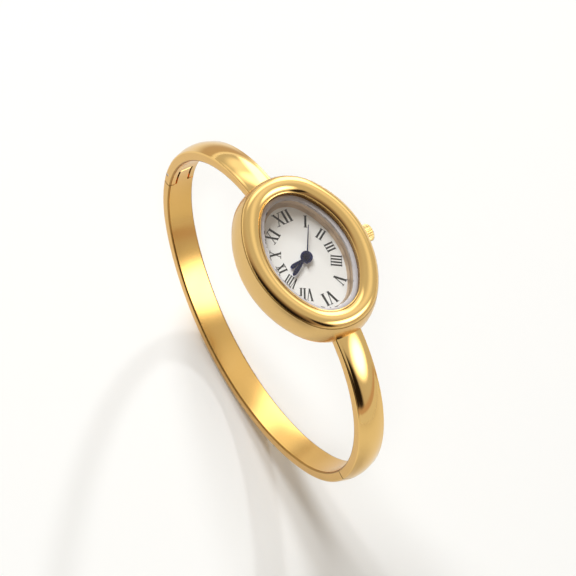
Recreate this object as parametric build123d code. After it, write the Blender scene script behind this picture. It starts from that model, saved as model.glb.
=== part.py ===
"""A gold-tone bangle watch: oval case, quartz movement, two arms, hinged lower half.

Millimetres. The origin is the centre of the case back's flat face, on the axis of the hands.
+Z points out of the dial, +Y to 12 o'clock and +X to 3 o'clock, where the crown is.
"""

import math
import os

from build123d import *

# Oval of the dial opening. Every oval of the case is this one, offset outwards or inwards
OPENING_HALF_LENGTH = 10.56
OPENING_HALF_WIDTH = 7.18
OPENING_END_RADIUS = 5.4

# Heights of the case above its back
CASE_TOP_Z = 6.2
BEZEL_EDGE_HEIGHT = 0.16
BEZEL_DOME_HEIGHT = 1.08
OPENING_EDGE_Z = 6.72
MID_CASE_WIDEST_Z = 2.75
MID_CASE_BOTTOM_Z = 0.3
BACK_THICKNESS = 0.5
BACK_LEDGE_Z = 0.95
DIAL_BOTTOM_Z = 3.3
DIAL_THICKNESS = 0.32

# Widths of the case, as offsets from the opening's oval
BEZEL_WIDTH = 3.19
BEZEL_CREST_OFFSET = 1.62
BEZEL_INNER_ROUND = 0.14
CASE_TOP_OFFSET = 3.06
MID_CASE_OFFSET = 3.77
MID_CASE_BOTTOM_OFFSET = 2.3
CAVITY_OFFSET = 0.9
BACK_OFFSET = 1.6
BACK_EDGE_BEVEL = 0.2

# Bezel spigot, glass and rehaut
SPIGOT_BOTTOM_Z = 4.2
SPIGOT_WALL = 0.82
GLASS_BOTTOM_Z = 5.0
GLASS_THICKNESS = 0.62
GLASS_INSET = 0.6
GLASS_BEVEL = 0.08
REHAUT_TOP_INSET = 0.66
REHAUT_BOTTOM_INSET = 0.92
REHAUT_FLANGE_TOP_Z = 4.14
REHAUT_FLANGE_OFFSET = 0.74
DIAL_OFFSET = 0.6
FIT = 0.02
SEAT = 0.05

# Case back rim and seal
BACK_RIM_WIDTH = 0.4
BACK_RIM_HEIGHT = 0.28
SEAL_WIDTH = 0.24

# Movement
MOVEMENT_INSET = 0.4
MAIN_PLATE_Z = 2.3
MAIN_PLATE_THICKNESS = 0.45
HOLDER_BOTTOM_Z = 1.0
BRIDGE_Z = 0.78
BRIDGE_THICKNESS = 0.22
ARBOR_RADIUS = 0.13
PILLAR_RADIUS = 0.42
BRIDGE_PILLAR_SHARES = [(-0.53, -0.22), (0.5, 0.17), (-0.09, 0.53)]
BOARD_PILLAR_SHARES = [(0.74, 0.2), (0.4, -0.22)]
DIAL_FOOT_SHARE = 0.82
SCREW_HEAD_RADIUS = 0.34
SCREW_HEAD_HEIGHT = 0.14
SCREW_SHANK_RADIUS = 0.18
WHEEL_THICKNESS = 0.12
THIN_WHEEL = 0.09

# Train: teeth, and the distance between the axes of each meshing pair
TOOTH_TOP_SHARE = 0.85
TOOTH_ROOT_SHARE = 1.5
TOOTH_TIP_SHARE = 0.07
ROTOR_TEETH = 8
INTERMEDIATE_TEETH = 48
INTERMEDIATE_PINION_TEETH = 8
SECONDS_TEETH = 40
SECONDS_PINION_TEETH = 8
THIRD_TEETH = 60
THIRD_PINION_TEETH = 8
CENTRE_TEETH = 64
CANNON_TEETH = 10
MINUTE_TEETH = 30
MINUTE_PINION_TEETH = 8
HOUR_TEETH = 32
ROTOR_DISTANCE = 1.68
INTERMEDIATE_DISTANCE = 1.68
THIRD_DISTANCE = 2.16
MINUTE_DISTANCE = 2.3
ROTOR_DIRECTION = 70.0
INTERMEDIATE_DIRECTION = 60.0
THIRD_DIRECTION = 150.0
MINUTE_DIRECTION = 0.0

# Levels of the wheels above the case back
INTERMEDIATE_Z = 1.15
SECONDS_Z = 1.45
THIRD_Z = 1.75
CENTRE_Z = 2.8
MINUTE_Z = 2.94
HOUR_Z = 3.08

# Hands, one above the other on concentric pipes
HOUR_PIPE_RADIUS = 0.62
CANNON_PIPE_RADIUS = 0.42
SECONDS_ARBOR_RADIUS = 0.18
PIPE_CLEARANCE = 0.04
HAND_THICKNESS = 0.12
HOUR_HAND_Z = 3.86
MINUTE_HAND_Z = 4.1
SECONDS_HAND_Z = 4.34
HOUR_HAND_LENGTH = 3.4
MINUTE_HAND_LENGTH = 4.2
SECONDS_HAND_LENGTH = 5.45
HAND_HUB_RADIUS = 1.0
HAND_BLADE_WIDTH = 0.8
HAND_NECK_SHARE = 0.4
HAND_BELLY_SHARE = 0.76
HAND_TAIL_LENGTH = 1.35
SECONDS_HAND_WIDTH = 0.2
SECONDS_HUB_RADIUS = 0.5
SECONDS_CAP_HEIGHT = 0.16
SHOWN_HOUR = 8.675
SHOWN_SECOND = 5.5

# Battery, coil and circuit
BATTERY_INNER_Y = 3.0
BATTERY_END_GAP = 1.36
BATTERY_THICKNESS = 1.25
BATTERY_Z = 0.7
BATTERY_EDGE = 0.1
CLIP_CLEARANCE = 0.4
CLIP_THICKNESS = 0.12
CLIP_HALF_WIDTH = 0.72
QUARTZ_RADIUS = 0.41
QUARTZ_LENGTH = 2.5
QUARTZ_X = 4.22
QUARTZ_DROP = 2.18
COIL_END_GAP = 2.76
COIL_RADIUS = 0.65
COIL_LENGTH = 5.0
CORE_WIDTH = 0.6
CORE_THICKNESS = 0.3
STATOR_THICKNESS = 0.28
STATOR_GAP = 0.05
STATOR_ARM_WIDTH = 1.0
STATOR_HALF_SPAN = 3.6
STATOR_POLE_WIDTH = 1.7
ROTOR_RADIUS = 0.62
ROTOR_HOLE_CLEARANCE = 0.12
BOARD_Z = 0.58
BOARD_THICKNESS = 0.12
BOARD_EDGE_SHARES = (0.3, 0.88, -0.3, 0.26)
CHIP_PLACE_SHARES = (0.68, -0.16)
CHIP_HALF_WIDTH = 0.68
CHIP_HEIGHT = 0.24

# Crown, stem and keyless works, all on one axis
STEM_Z = 2.0
STEM_RADIUS = 0.25
STEM_COLLAR_RADIUS = 0.36
STEM_INNER_X = 2.75
STEM_TRAVEL = 0.7
CROWN_RADIUS = 1.5
CROWN_LENGTH = 1.95
CROWN_DOME = 0.42
CROWN_FLUTES = 22
CROWN_FLUTE_DEPTH = 0.13
CROWN_RIB_SHARE = 0.4
CROWN_CASE_GAP = 0.18
TUBE_RADIUS = 0.75
TUBE_BORE = 0.42
TUBE_PROUD = 0.55
O_RING_WIDTH = 0.26
O_RING_LENGTH = 0.3
SLIDING_PINION_RADIUS = 1.03
SLIDING_PINION_GROOVE_RADIUS = 0.5
SLIDING_PINION_X = 4.95
SLIDING_PINION_LENGTH = 0.56
SLIDING_PINION_TEETH = 14
LEVER_X = 5.78
LEVER_THICKNESS = 0.14
LEVER_HEIGHT = 0.62
LEVER_REACH = 1.6

# Bangle: section, and the oval that its inner face follows
BAND_HALF_WIDTH = 2.48
BAND_SIDE_HEIGHT = 1.62
BAND_CROWN = 0.71
BAND_INNER_BEVEL = 0.2
RING_HALF_WIDTH = 28.8
RING_SIDE_RADIUS = 21.4
RING_JOIN_ANGLE = -40.26
ARM_ROOT_OFFSET = 1.654
ARM_ROOT_Z = 1.6915

# Hinge near 12 o'clock
HINGE_DROP = 2.44
HINGE_DEPTH = 1.15
PIN_RADIUS = 0.3
PIN_FIT = 0.03
KNUCKLE_WIDTH = 2.25
KNUCKLE_RADIUS = 2.6
KNUCKLE_GAP = 0.25
EAR_RADIUS = 2.14
EAR_GAP = 0.1

# Clasp near 6 o'clock
CLASP_DROP = 3.04
CLASP_GAP = 0.06
TONGUE_WIDTH = 2.3
TONGUE_THICKNESS = 0.5
TONGUE_LENGTH = 4.4
TONGUE_ROOT = 3.0
TONGUE_DEPTH = 0.72
SOCKET_CLEARANCE = 0.14
SOCKET_OUTER_CLEARANCE = 0.34
TONGUE_NOSE = 0.2
RIVET_RADIUS = 0.4

# Arm dowels
DOWEL_RADIUS = 0.4
DOWEL_LENGTH = 3.0
DOWEL_Z = 2.1
DOWEL_SHARE = 0.55

# One overrun for every cut that has to pass a face
OVERRUN = 2.0


# Geometry that several pieces share


def oval_side_radius():
    """Radius of the oval's two long arcs, tangent to its end arcs."""
    a, b, r = OPENING_HALF_LENGTH, OPENING_HALF_WIDTH, OPENING_END_RADIUS
    return (a * a + b * b - 2 * a * r) / (2 * (b - r))


def oval_sectors():
    """Centre, radius, first angle and sweep of the oval's four arcs."""
    side = oval_side_radius()
    side_x = side - OPENING_HALF_WIDTH
    end_y = OPENING_HALF_LENGTH - OPENING_END_RADIUS
    turn = math.degrees(math.atan2(end_y, side_x))
    return [
        (-side_x, 0, side, -turn, 2 * turn),
        (0, end_y, OPENING_END_RADIUS, turn, 180 - 2 * turn),
        (side_x, 0, side, 180 - turn, 2 * turn),
        (0, -end_y, OPENING_END_RADIUS, 180 + turn, 180 - 2 * turn),
    ]


def oval_face(offset):
    arcs = [CenterArc((x, y), r + offset, start, sweep) for x, y, r, start, sweep in oval_sectors()]
    return make_face(arcs)


def oval_plate(offset, bottom, top):
    return extrude(Pos(0, 0, bottom) * oval_face(offset), top - bottom)


def oval_frame(outer, inner, bottom, top):
    return oval_plate(outer, bottom, top) - oval_plate(inner, bottom - OVERRUN, top + OVERRUN)


def oval_ring(profile):
    """Carry a closed profile of (offset, z) round the oval."""
    ring = None
    for x, y, radius, start, sweep in oval_sectors():
        angle = math.radians(start)
        along = (math.cos(angle), math.sin(angle), 0)
        plane = Plane(origin=(x, y, 0), x_dir=along, z_dir=(along[1], -along[0], 0))
        piece = revolve(plane * Pos(radius, 0) * profile, Axis((x, y, 0), (0, 0, 1)), sweep)
        ring = piece if ring is None else ring + piece
    return ring


def cylinder_x(x, radius, length, y=0, z=STEM_Z):
    """A cylinder along +X from x."""
    place = Pos(x, y, z) * Rot(0, 90, 0)
    return place * Cylinder(radius, length, align=(Align.CENTER, Align.CENTER, Align.MIN))


def cylinder_z(place, radius, bottom, top):
    centre = Pos(place[0], place[1], bottom)
    return centre * Cylinder(radius, top - bottom, align=(Align.CENTER, Align.CENTER, Align.MIN))


def block(x0, x1, y0, y1, z0, z1):
    size = Box(x1 - x0, y1 - y0, z1 - z0, align=(Align.MIN, Align.MIN, Align.MIN))
    return Pos(x0, y0, z0) * size


def polar(distance, degrees, start=(0, 0)):
    angle = math.radians(degrees)
    return (start[0] + distance * math.cos(angle), start[1] + distance * math.sin(angle))


# Places of the train's axes
CENTRE = (0, 0)
INTERMEDIATE_PLACE = polar(INTERMEDIATE_DISTANCE, INTERMEDIATE_DIRECTION)
ROTOR_PLACE = polar(ROTOR_DISTANCE, ROTOR_DIRECTION, INTERMEDIATE_PLACE)
THIRD_PLACE = polar(THIRD_DISTANCE, THIRD_DIRECTION)
MINUTE_PLACE = polar(MINUTE_DISTANCE, MINUTE_DIRECTION)

MOVEMENT_HALF_WIDTH = OPENING_HALF_WIDTH - MOVEMENT_INSET
MOVEMENT_HALF_LENGTH = OPENING_HALF_LENGTH - MOVEMENT_INSET
BRIDGE_PILLARS = [(x * MOVEMENT_HALF_WIDTH, y * MOVEMENT_HALF_LENGTH) for x, y in BRIDGE_PILLAR_SHARES]
BOARD_PILLARS = [(x * MOVEMENT_HALF_WIDTH, y * MOVEMENT_HALF_LENGTH) for x, y in BOARD_PILLAR_SHARES]

# The cell and the coil fill the two ends of the movement
BATTERY_RADIUS = (MOVEMENT_HALF_LENGTH - BATTERY_END_GAP - BATTERY_INNER_Y) / 2
BATTERY_Y = -BATTERY_INNER_Y - BATTERY_RADIUS
BATTERY_PLACE = (0, BATTERY_Y)
COIL_Y = MOVEMENT_HALF_LENGTH - COIL_END_GAP

# The bangle's side arcs run through the arms' roots in the case wall
ARM_ROOT_Y = OPENING_HALF_LENGTH + ARM_ROOT_OFFSET
RING_SIDE_Y = RING_HALF_WIDTH - RING_SIDE_RADIUS
RING_SIDE_Z = ARM_ROOT_Z - math.sqrt(RING_SIDE_RADIUS**2 - (ARM_ROOT_Y - RING_SIDE_Y) ** 2)
HINGE_Z = RING_SIDE_Z - HINGE_DROP
CLASP_Z = RING_SIDE_Z - CLASP_DROP


# Case


def bezel():
    """Wide domed ring with a spigot that presses into the mid-case."""
    edge_z = CASE_TOP_Z + BEZEL_EDGE_HEIGHT
    crest = (BEZEL_CREST_OFFSET, edge_z + BEZEL_DOME_HEIGHT)
    lip_z = OPENING_EDGE_Z - BEZEL_INNER_ROUND
    lip = (BEZEL_INNER_ROUND, OPENING_EDGE_Z)
    outline = [
        Line((0, SPIGOT_BOTTOM_Z), (0, lip_z)),
        RadiusArc((0, lip_z), lip, BEZEL_INNER_ROUND),
        TangentArc(crest, lip, tangent=(-1, 0)),
        TangentArc(crest, (BEZEL_WIDTH, edge_z), tangent=(1, 0)),
        Polyline(
            (BEZEL_WIDTH, edge_z),
            (BEZEL_WIDTH, CASE_TOP_Z),
            (SPIGOT_WALL, CASE_TOP_Z),
            (SPIGOT_WALL, SPIGOT_BOTTOM_Z),
            (0, SPIGOT_BOTTOM_Z),
        ),
    ]
    return oval_ring(make_face(outline))


def mid_case_envelope(grow=0.0):
    """The mid-case's outside as one full solid, for what is fitted against it."""
    wall = mid_case_outline(grow)
    bottom = MID_CASE_BOTTOM_Z - grow
    inner = Polyline(
        (MID_CASE_BOTTOM_OFFSET, bottom), (CAVITY_OFFSET, bottom), (CAVITY_OFFSET, CASE_TOP_Z),
        (CASE_TOP_OFFSET + grow, CASE_TOP_Z),
    )
    ring = oval_ring(make_face(wall + [inner]))
    return ring + oval_plate(CAVITY_OFFSET + FIT, bottom, CASE_TOP_Z)


def mid_case_outline(grow=0.0):
    top = (CASE_TOP_OFFSET + grow, CASE_TOP_Z)
    widest = (MID_CASE_OFFSET + grow, MID_CASE_WIDEST_Z)
    bottom = (MID_CASE_BOTTOM_OFFSET, MID_CASE_BOTTOM_Z - grow)
    return [TangentArc(widest, top, tangent=(0, 1)), TangentArc(widest, bottom, tangent=(0, -1))]


def mid_case():
    back_hole = BACK_OFFSET + SEAT
    inner = Polyline(
        (MID_CASE_BOTTOM_OFFSET, MID_CASE_BOTTOM_Z),
        (back_hole, MID_CASE_BOTTOM_Z),
        (back_hole, BACK_LEDGE_Z),
        (CAVITY_OFFSET, BACK_LEDGE_Z),
        (CAVITY_OFFSET, CASE_TOP_Z),
        (CASE_TOP_OFFSET, CASE_TOP_Z),
    )
    case = oval_ring(make_face(mid_case_outline() + [inner]))
    case -= cylinder_x(OPENING_HALF_WIDTH, TUBE_RADIUS + FIT, OPENING_HALF_WIDTH)
    for side in (-1, 1):
        case -= dowel(side, FIT)
    return case


def crystal():
    glass = oval_plate(-GLASS_INSET, GLASS_BOTTOM_Z, GLASS_BOTTOM_Z + GLASS_THICKNESS)
    return chamfer(glass.edges().group_by(Axis.Z)[-1], GLASS_BEVEL)


def crystal_gasket():
    top = GLASS_BOTTOM_Z + GLASS_THICKNESS
    return oval_frame(-FIT / 2, -GLASS_INSET + FIT / 2, GLASS_BOTTOM_Z, top)


def rehaut_ring():
    """Wall between the dial and the glass, with a flange that holds the dial down."""
    dial_top = DIAL_BOTTOM_Z + DIAL_THICKNESS
    outline = Polyline(
        (-REHAUT_BOTTOM_INSET, dial_top),
        (REHAUT_FLANGE_OFFSET, dial_top),
        (REHAUT_FLANGE_OFFSET, REHAUT_FLANGE_TOP_Z),
        (-SEAT, REHAUT_FLANGE_TOP_Z),
        (-SEAT, GLASS_BOTTOM_Z),
        (-REHAUT_TOP_INSET, GLASS_BOTTOM_Z),
        (-REHAUT_BOTTOM_INSET, dial_top),
    )
    return oval_ring(make_face(outline))


def dial():
    plate = oval_plate(DIAL_OFFSET, DIAL_BOTTOM_Z, DIAL_BOTTOM_Z + DIAL_THICKNESS)
    plate -= cylinder_z(CENTRE, HOUR_PIPE_RADIUS + 2 * PIPE_CLEARANCE, 0, CASE_TOP_Z)
    for place in dial_feet_places():
        plate += cylinder_z(place, ARBOR_RADIUS, MAIN_PLATE_Z, DIAL_BOTTOM_Z)
    return plate


def dial_feet_places():
    reach = DIAL_FOOT_SHARE * MOVEMENT_HALF_LENGTH
    return [(0, reach), (0, -reach)]


def case_back():
    plate = oval_plate(BACK_OFFSET, 0, BACK_THICKNESS)
    plate = chamfer(plate.edges().group_by(Axis.Z)[0], BACK_EDGE_BEVEL)
    top = BACK_THICKNESS + BACK_RIM_HEIGHT
    return plate + oval_frame(BACK_OFFSET, BACK_OFFSET - BACK_RIM_WIDTH, BACK_THICKNESS, top)


def back_gasket():
    outer = BACK_OFFSET - BACK_RIM_WIDTH - FIT
    return oval_frame(outer, outer - SEAL_WIDTH, BACK_THICKNESS, BACK_LEDGE_Z)


# Movement plates


def gear_face(teeth, module, phase):
    """Plain tapered teeth, one of them at the angle phase, in degrees."""
    root = teeth * module / 2 - TOOTH_ROOT_SHARE * module
    tip = teeth * module / 2 + TOOTH_TOP_SHARE * module
    pitch = 360 / teeth
    points = []
    for tooth in range(teeth):
        middle = phase + tooth * pitch
        points += [
            polar(tip, middle - TOOTH_TIP_SHARE * pitch),
            polar(tip, middle + TOOTH_TIP_SHARE * pitch),
            polar(root, middle + pitch / 2),
        ]
    return make_face(Polyline(*points, close=True))


def gear(place, teeth, module, phase, bottom, thickness, bore):
    wheel = extrude(Pos(place[0], place[1], bottom) * gear_face(teeth, module, phase), thickness)
    if bore:
        wheel -= cylinder_z(place, bore, bottom - OVERRUN, bottom + thickness + OVERRUN)
    return wheel


def mesh_phase(teeth, phase, other_teeth, direction):
    """Phase of the wheel that lies in this direction, so that its gap faces the first one's tooth."""
    turned = (direction - phase) * teeth / 360
    return direction + 180 - (0.5 - turned) * 360 / other_teeth


def pair_module(distance, teeth, other_teeth):
    return 2 * distance / (teeth + other_teeth)


ROTOR_MODULE = pair_module(ROTOR_DISTANCE, ROTOR_TEETH, INTERMEDIATE_TEETH)
INTERMEDIATE_MODULE = pair_module(INTERMEDIATE_DISTANCE, INTERMEDIATE_PINION_TEETH, SECONDS_TEETH)
THIRD_MODULE = pair_module(THIRD_DISTANCE, SECONDS_PINION_TEETH, THIRD_TEETH)
CENTRE_MODULE = pair_module(THIRD_DISTANCE, THIRD_PINION_TEETH, CENTRE_TEETH)
MINUTE_MODULE = pair_module(MINUTE_DISTANCE, CANNON_TEETH, MINUTE_TEETH)
HOUR_MODULE = pair_module(MINUTE_DISTANCE, MINUTE_PINION_TEETH, HOUR_TEETH)
PLATE_TOP_Z = MAIN_PLATE_Z + MAIN_PLATE_THICKNESS
BRIDGE_TOP_Z = BRIDGE_Z + BRIDGE_THICKNESS


def main_plate():
    """Plate that carries the train, with the pillars, the stem's bearing and the minute wheel's stud."""
    plate = oval_plate(-MOVEMENT_INSET, MAIN_PLATE_Z, PLATE_TOP_Z)
    for place in BRIDGE_PILLARS:
        plate += cylinder_z(place, PILLAR_RADIUS, BRIDGE_TOP_Z, MAIN_PLATE_Z)
    for place in BOARD_PILLARS:
        plate += cylinder_z(place, PILLAR_RADIUS, BOARD_Z + BOARD_THICKNESS, MAIN_PLATE_Z)
    plate += cylinder_z(MINUTE_PLACE, ARBOR_RADIUS, PLATE_TOP_Z, HOUR_Z + THIN_WHEEL)
    bearing = 2 * STEM_RADIUS
    inner_x = STEM_INNER_X + STEM_COLLAR_RADIUS / 2
    plate += block(inner_x, inner_x + STEM_TRAVEL, -bearing, bearing, STEM_Z - bearing, MAIN_PLATE_Z)
    plate -= cylinder_x(STEM_INNER_X, STEM_RADIUS + FIT, 2 * STEM_TRAVEL)
    plate -= cylinder_z(CENTRE, SECONDS_ARBOR_RADIUS + PIPE_CLEARANCE, 0, CASE_TOP_Z)
    below, above = MAIN_PLATE_Z - OVERRUN, PLATE_TOP_Z + OVERRUN
    for place in (INTERMEDIATE_PLACE, ROTOR_PLACE, THIRD_PLACE):
        plate -= cylinder_z(place, ARBOR_RADIUS + FIT, below, above)
    for place in dial_feet_places():
        plate -= cylinder_z(place, ARBOR_RADIUS + FIT, below, above)
    length, width = COIL_LENGTH / 2 + 2 * SEAT, COIL_RADIUS + 2 * SEAT
    plate -= block(-length, length, COIL_Y - width, COIL_Y + width, below, above)
    window = SLIDING_PINION_RADIUS + 2 * SEAT
    near = SLIDING_PINION_X - STEM_TRAVEL
    far = SLIDING_PINION_X + SLIDING_PINION_LENGTH + 2 * SEAT
    plate -= block(near, far, -window, window, STEM_Z, above)
    plate -= cylinder_x(near, STEM_COLLAR_RADIUS + 2 * SEAT, OPENING_HALF_WIDTH)
    for place in BRIDGE_PILLARS:
        plate -= cylinder_z(place, SCREW_SHANK_RADIUS, 0, MAIN_PLATE_Z)
    for place in BOARD_PILLARS:
        plate -= cylinder_z(place, SCREW_SHANK_RADIUS, 0, MAIN_PLATE_Z)
    return plate


def movement_holder():
    """Plastic ring that fills the case round the movement, clear of the stem and the setting lever."""
    ring = oval_frame(CAVITY_OFFSET - SEAT, -MOVEMENT_INSET + SEAT, HOLDER_BOTTOM_Z, DIAL_BOTTOM_Z)
    ring -= cylinder_x(MOVEMENT_HALF_WIDTH / 2, TUBE_RADIUS, OPENING_HALF_WIDTH)
    room = 2 * SEAT
    low, high = STEM_Z - LEVER_HEIGHT / 2 - room, MAIN_PLATE_Z + room
    return ring - block(LEVER_X - room, LEVER_X + LEVER_THICKNESS + room, 0, LEVER_REACH + room, low, high)


def train_bridge():
    """Three-cornered plate over the train, screwed to the pillars."""
    corners = []
    for place, directions in zip(BRIDGE_PILLARS, ((225, 300), (320, 40), (50, 140))):
        corners += [polar(2 * PILLAR_RADIUS, direction, place) for direction in directions]
    outline = make_face(Polyline(*corners, close=True))
    outline = fillet(outline.vertices(), PILLAR_RADIUS)
    bridge = extrude(Pos(0, 0, BRIDGE_Z) * outline, BRIDGE_THICKNESS)
    for place in (CENTRE, INTERMEDIATE_PLACE, ROTOR_PLACE, THIRD_PLACE):
        bridge -= cylinder_z(place, ARBOR_RADIUS + FIT, 0, MAIN_PLATE_Z)
    for place in BRIDGE_PILLARS:
        bridge -= cylinder_z(place, SCREW_SHANK_RADIUS + FIT, 0, MAIN_PLATE_Z)
    return bridge


def screw(place, head_bottom, head_top, tip):
    """A slotted screw driven from the back."""
    head = cylinder_z(place, SCREW_HEAD_RADIUS, head_bottom, head_top)
    slot = SCREW_HEAD_HEIGHT / 2
    half = SCREW_HEAD_RADIUS + FIT
    x, y = place
    head -= block(x - half, x + half, y - slot / 2, y + slot / 2, 0, head_bottom + slot)
    return head + cylinder_z(place, SCREW_SHANK_RADIUS - FIT, head_top, tip)


def bridge_screws():
    return [screw(p, BRIDGE_Z - SCREW_HEAD_HEIGHT, BRIDGE_Z, MAIN_PLATE_Z - SEAT) for p in BRIDGE_PILLARS]


def board_screws():
    bottom = BOARD_Z - SCREW_HEAD_HEIGHT / 2
    return [screw(p, bottom, BOARD_Z, MAIN_PLATE_Z - SEAT) for p in BOARD_PILLARS]


# Power and motor


def battery():
    cell = cylinder_z(BATTERY_PLACE, BATTERY_RADIUS, BATTERY_Z, BATTERY_Z + BATTERY_THICKNESS)
    return chamfer(cell.edges().group_by(Axis.Z)[-1], BATTERY_EDGE)


def battery_clip():
    """Spring strip across the cell's back, with legs that stand against the main plate."""
    half, thick = BATTERY_RADIUS + CLIP_CLEARANCE, CLIP_THICKNESS
    y0, y1 = BATTERY_Y - CLIP_HALF_WIDTH, BATTERY_Y + CLIP_HALF_WIDTH
    strip = block(-half - thick, half + thick, y0, y1, BATTERY_Z - thick, BATTERY_Z - FIT)
    for x in (-half - thick, half):
        strip += block(x, x + thick, y0, y1, BATTERY_Z - thick, MAIN_PLATE_Z)
    return strip


def core_bar(clearance=0.0):
    """Flat bar below the stator's two legs, through the coil."""
    half = CORE_WIDTH / 2 + clearance
    bottom, top = stator_z() - CORE_THICKNESS - clearance, stator_z() + clearance
    return block(-STATOR_HALF_SPAN, STATOR_HALF_SPAN, COIL_Y - half, COIL_Y + half, bottom, top)


def coil_core():
    return core_bar()


def coil():
    z = stator_z() - CORE_THICKNESS / 2
    return cylinder_x(-COIL_LENGTH / 2, COIL_RADIUS, COIL_LENGTH, COIL_Y, z) - core_bar(FIT)


def stator_z():
    return MAIN_PLATE_Z - STATOR_GAP - STATOR_THICKNESS


def stator():
    """Flat yoke: a pole bar round the rotor, and two legs to the coil's core."""
    bottom, top = stator_z(), MAIN_PLATE_Z - STATOR_GAP
    half, arm = STATOR_HALF_SPAN, STATOR_ARM_WIDTH
    low = ROTOR_PLACE[1] - STATOR_POLE_WIDTH / 2
    high = ROTOR_PLACE[1] + STATOR_POLE_WIDTH / 2
    reach = COIL_Y + CORE_WIDTH / 2
    yoke = block(-half, half, low, high, bottom, top)
    yoke += block(-half, arm - half, low, reach, bottom, top)
    yoke += block(half - arm, half, low, reach, bottom, top)
    hole = ROTOR_RADIUS + ROTOR_HOLE_CLEARANCE
    yoke -= cylinder_z(ROTOR_PLACE, hole, bottom - OVERRUN, top + OVERRUN)
    notch = ROTOR_HOLE_CLEARANCE
    x = ROTOR_PLACE[0]
    yoke -= block(x - notch, x + notch, low - OVERRUN, low + notch, bottom - OVERRUN, top + OVERRUN)
    return yoke


def circuit_board():
    width, length = MOVEMENT_HALF_WIDTH, MOVEMENT_HALF_LENGTH
    left, right, low, high = BOARD_EDGE_SHARES
    top = BOARD_Z + BOARD_THICKNESS
    board = block(left * width, right * width, low * length, high * length, BOARD_Z, top)
    x, y = CHIP_PLACE_SHARES[0] * width, CHIP_PLACE_SHARES[1] * length
    half = CHIP_HALF_WIDTH
    board += block(x - half, x + half, y - half, y + half, BOARD_Z, top + CHIP_HEIGHT)
    for place in BOARD_PILLARS:
        board -= cylinder_z(place, SCREW_SHANK_RADIUS + FIT, 0, MAIN_PLATE_Z)
    for place in BRIDGE_PILLARS:
        board -= cylinder_z(place, SCREW_HEAD_RADIUS + 2 * SEAT, 0, MAIN_PLATE_Z)
    return board


def quartz_crystal():
    """Small can of the time base, lying beside the cell against the main plate."""
    y, z = -BATTERY_INNER_Y - QUARTZ_DROP, MAIN_PLATE_Z - QUARTZ_RADIUS
    place = Pos(QUARTZ_X, y, z) * Rot(-90, 0, 0)
    return place * Cylinder(QUARTZ_RADIUS, QUARTZ_LENGTH, align=(Align.CENTER, Align.CENTER, Align.MIN))


# Train


def rotor():
    place = ROTOR_PLACE
    magnet = cylinder_z(place, ROTOR_RADIUS, stator_z(), MAIN_PLATE_Z - STATOR_GAP)
    arbor = cylinder_z(place, ARBOR_RADIUS, BRIDGE_Z, PLATE_TOP_Z - SEAT)
    teeth = gear(place, ROTOR_TEETH, ROTOR_MODULE, 0, INTERMEDIATE_Z, WHEEL_THICKNESS, 0)
    return magnet + arbor + teeth


def intermediate_wheel():
    phase = mesh_phase(ROTOR_TEETH, 0, INTERMEDIATE_TEETH, ROTOR_DIRECTION + 180)
    teeth, module = INTERMEDIATE_TEETH, ROTOR_MODULE
    return gear(INTERMEDIATE_PLACE, teeth, module, phase, INTERMEDIATE_Z, WHEEL_THICKNESS, ARBOR_RADIUS)


def intermediate_pinion():
    arbor = cylinder_z(INTERMEDIATE_PLACE, ARBOR_RADIUS, BRIDGE_Z, PLATE_TOP_Z - SEAT)
    top = SECONDS_Z + WHEEL_THICKNESS
    bottom = INTERMEDIATE_Z + WHEEL_THICKNESS
    teeth, module = INTERMEDIATE_PINION_TEETH, INTERMEDIATE_MODULE
    return arbor + gear(INTERMEDIATE_PLACE, teeth, module, 0, bottom, top - bottom, 0)


def seconds_wheel():
    direction = INTERMEDIATE_DIRECTION + 180
    phase = mesh_phase(INTERMEDIATE_PINION_TEETH, 0, SECONDS_TEETH, direction)
    teeth, module = SECONDS_TEETH, INTERMEDIATE_MODULE
    return gear(CENTRE, teeth, module, phase, SECONDS_Z, WHEEL_THICKNESS, ARBOR_RADIUS)


def seconds_pinion():
    """Pinion and long arbor that carries the seconds hand through the pipes of the other two."""
    bottom = SECONDS_Z + WHEEL_THICKNESS
    top = THIRD_Z + WHEEL_THICKNESS
    pinion = gear(CENTRE, SECONDS_PINION_TEETH, THIRD_MODULE, 0, bottom, top - bottom, 0)
    pinion += cylinder_z(CENTRE, ARBOR_RADIUS, BRIDGE_Z, top)
    return pinion + cylinder_z(CENTRE, SECONDS_ARBOR_RADIUS, top, SECONDS_HAND_Z + HAND_THICKNESS)


def third_wheel():
    phase = mesh_phase(SECONDS_PINION_TEETH, 0, THIRD_TEETH, THIRD_DIRECTION)
    return gear(THIRD_PLACE, THIRD_TEETH, THIRD_MODULE, phase, THIRD_Z, WHEEL_THICKNESS, ARBOR_RADIUS)


def third_pinion():
    arbor = cylinder_z(THIRD_PLACE, ARBOR_RADIUS, BRIDGE_Z, CENTRE_Z)
    bottom = PLATE_TOP_Z + FIT
    top = CENTRE_Z + THIN_WHEEL
    return arbor + gear(THIRD_PLACE, THIRD_PINION_TEETH, CENTRE_MODULE, 0, bottom, top - bottom, 0)


def centre_wheel():
    """Wheel that turns once an hour, on the cannon pinion's foot."""
    phase = mesh_phase(THIRD_PINION_TEETH, 0, CENTRE_TEETH, THIRD_DIRECTION + 180)
    return gear(CENTRE, CENTRE_TEETH, CENTRE_MODULE, phase, CENTRE_Z, THIN_WHEEL, CANNON_PIPE_RADIUS)


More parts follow.
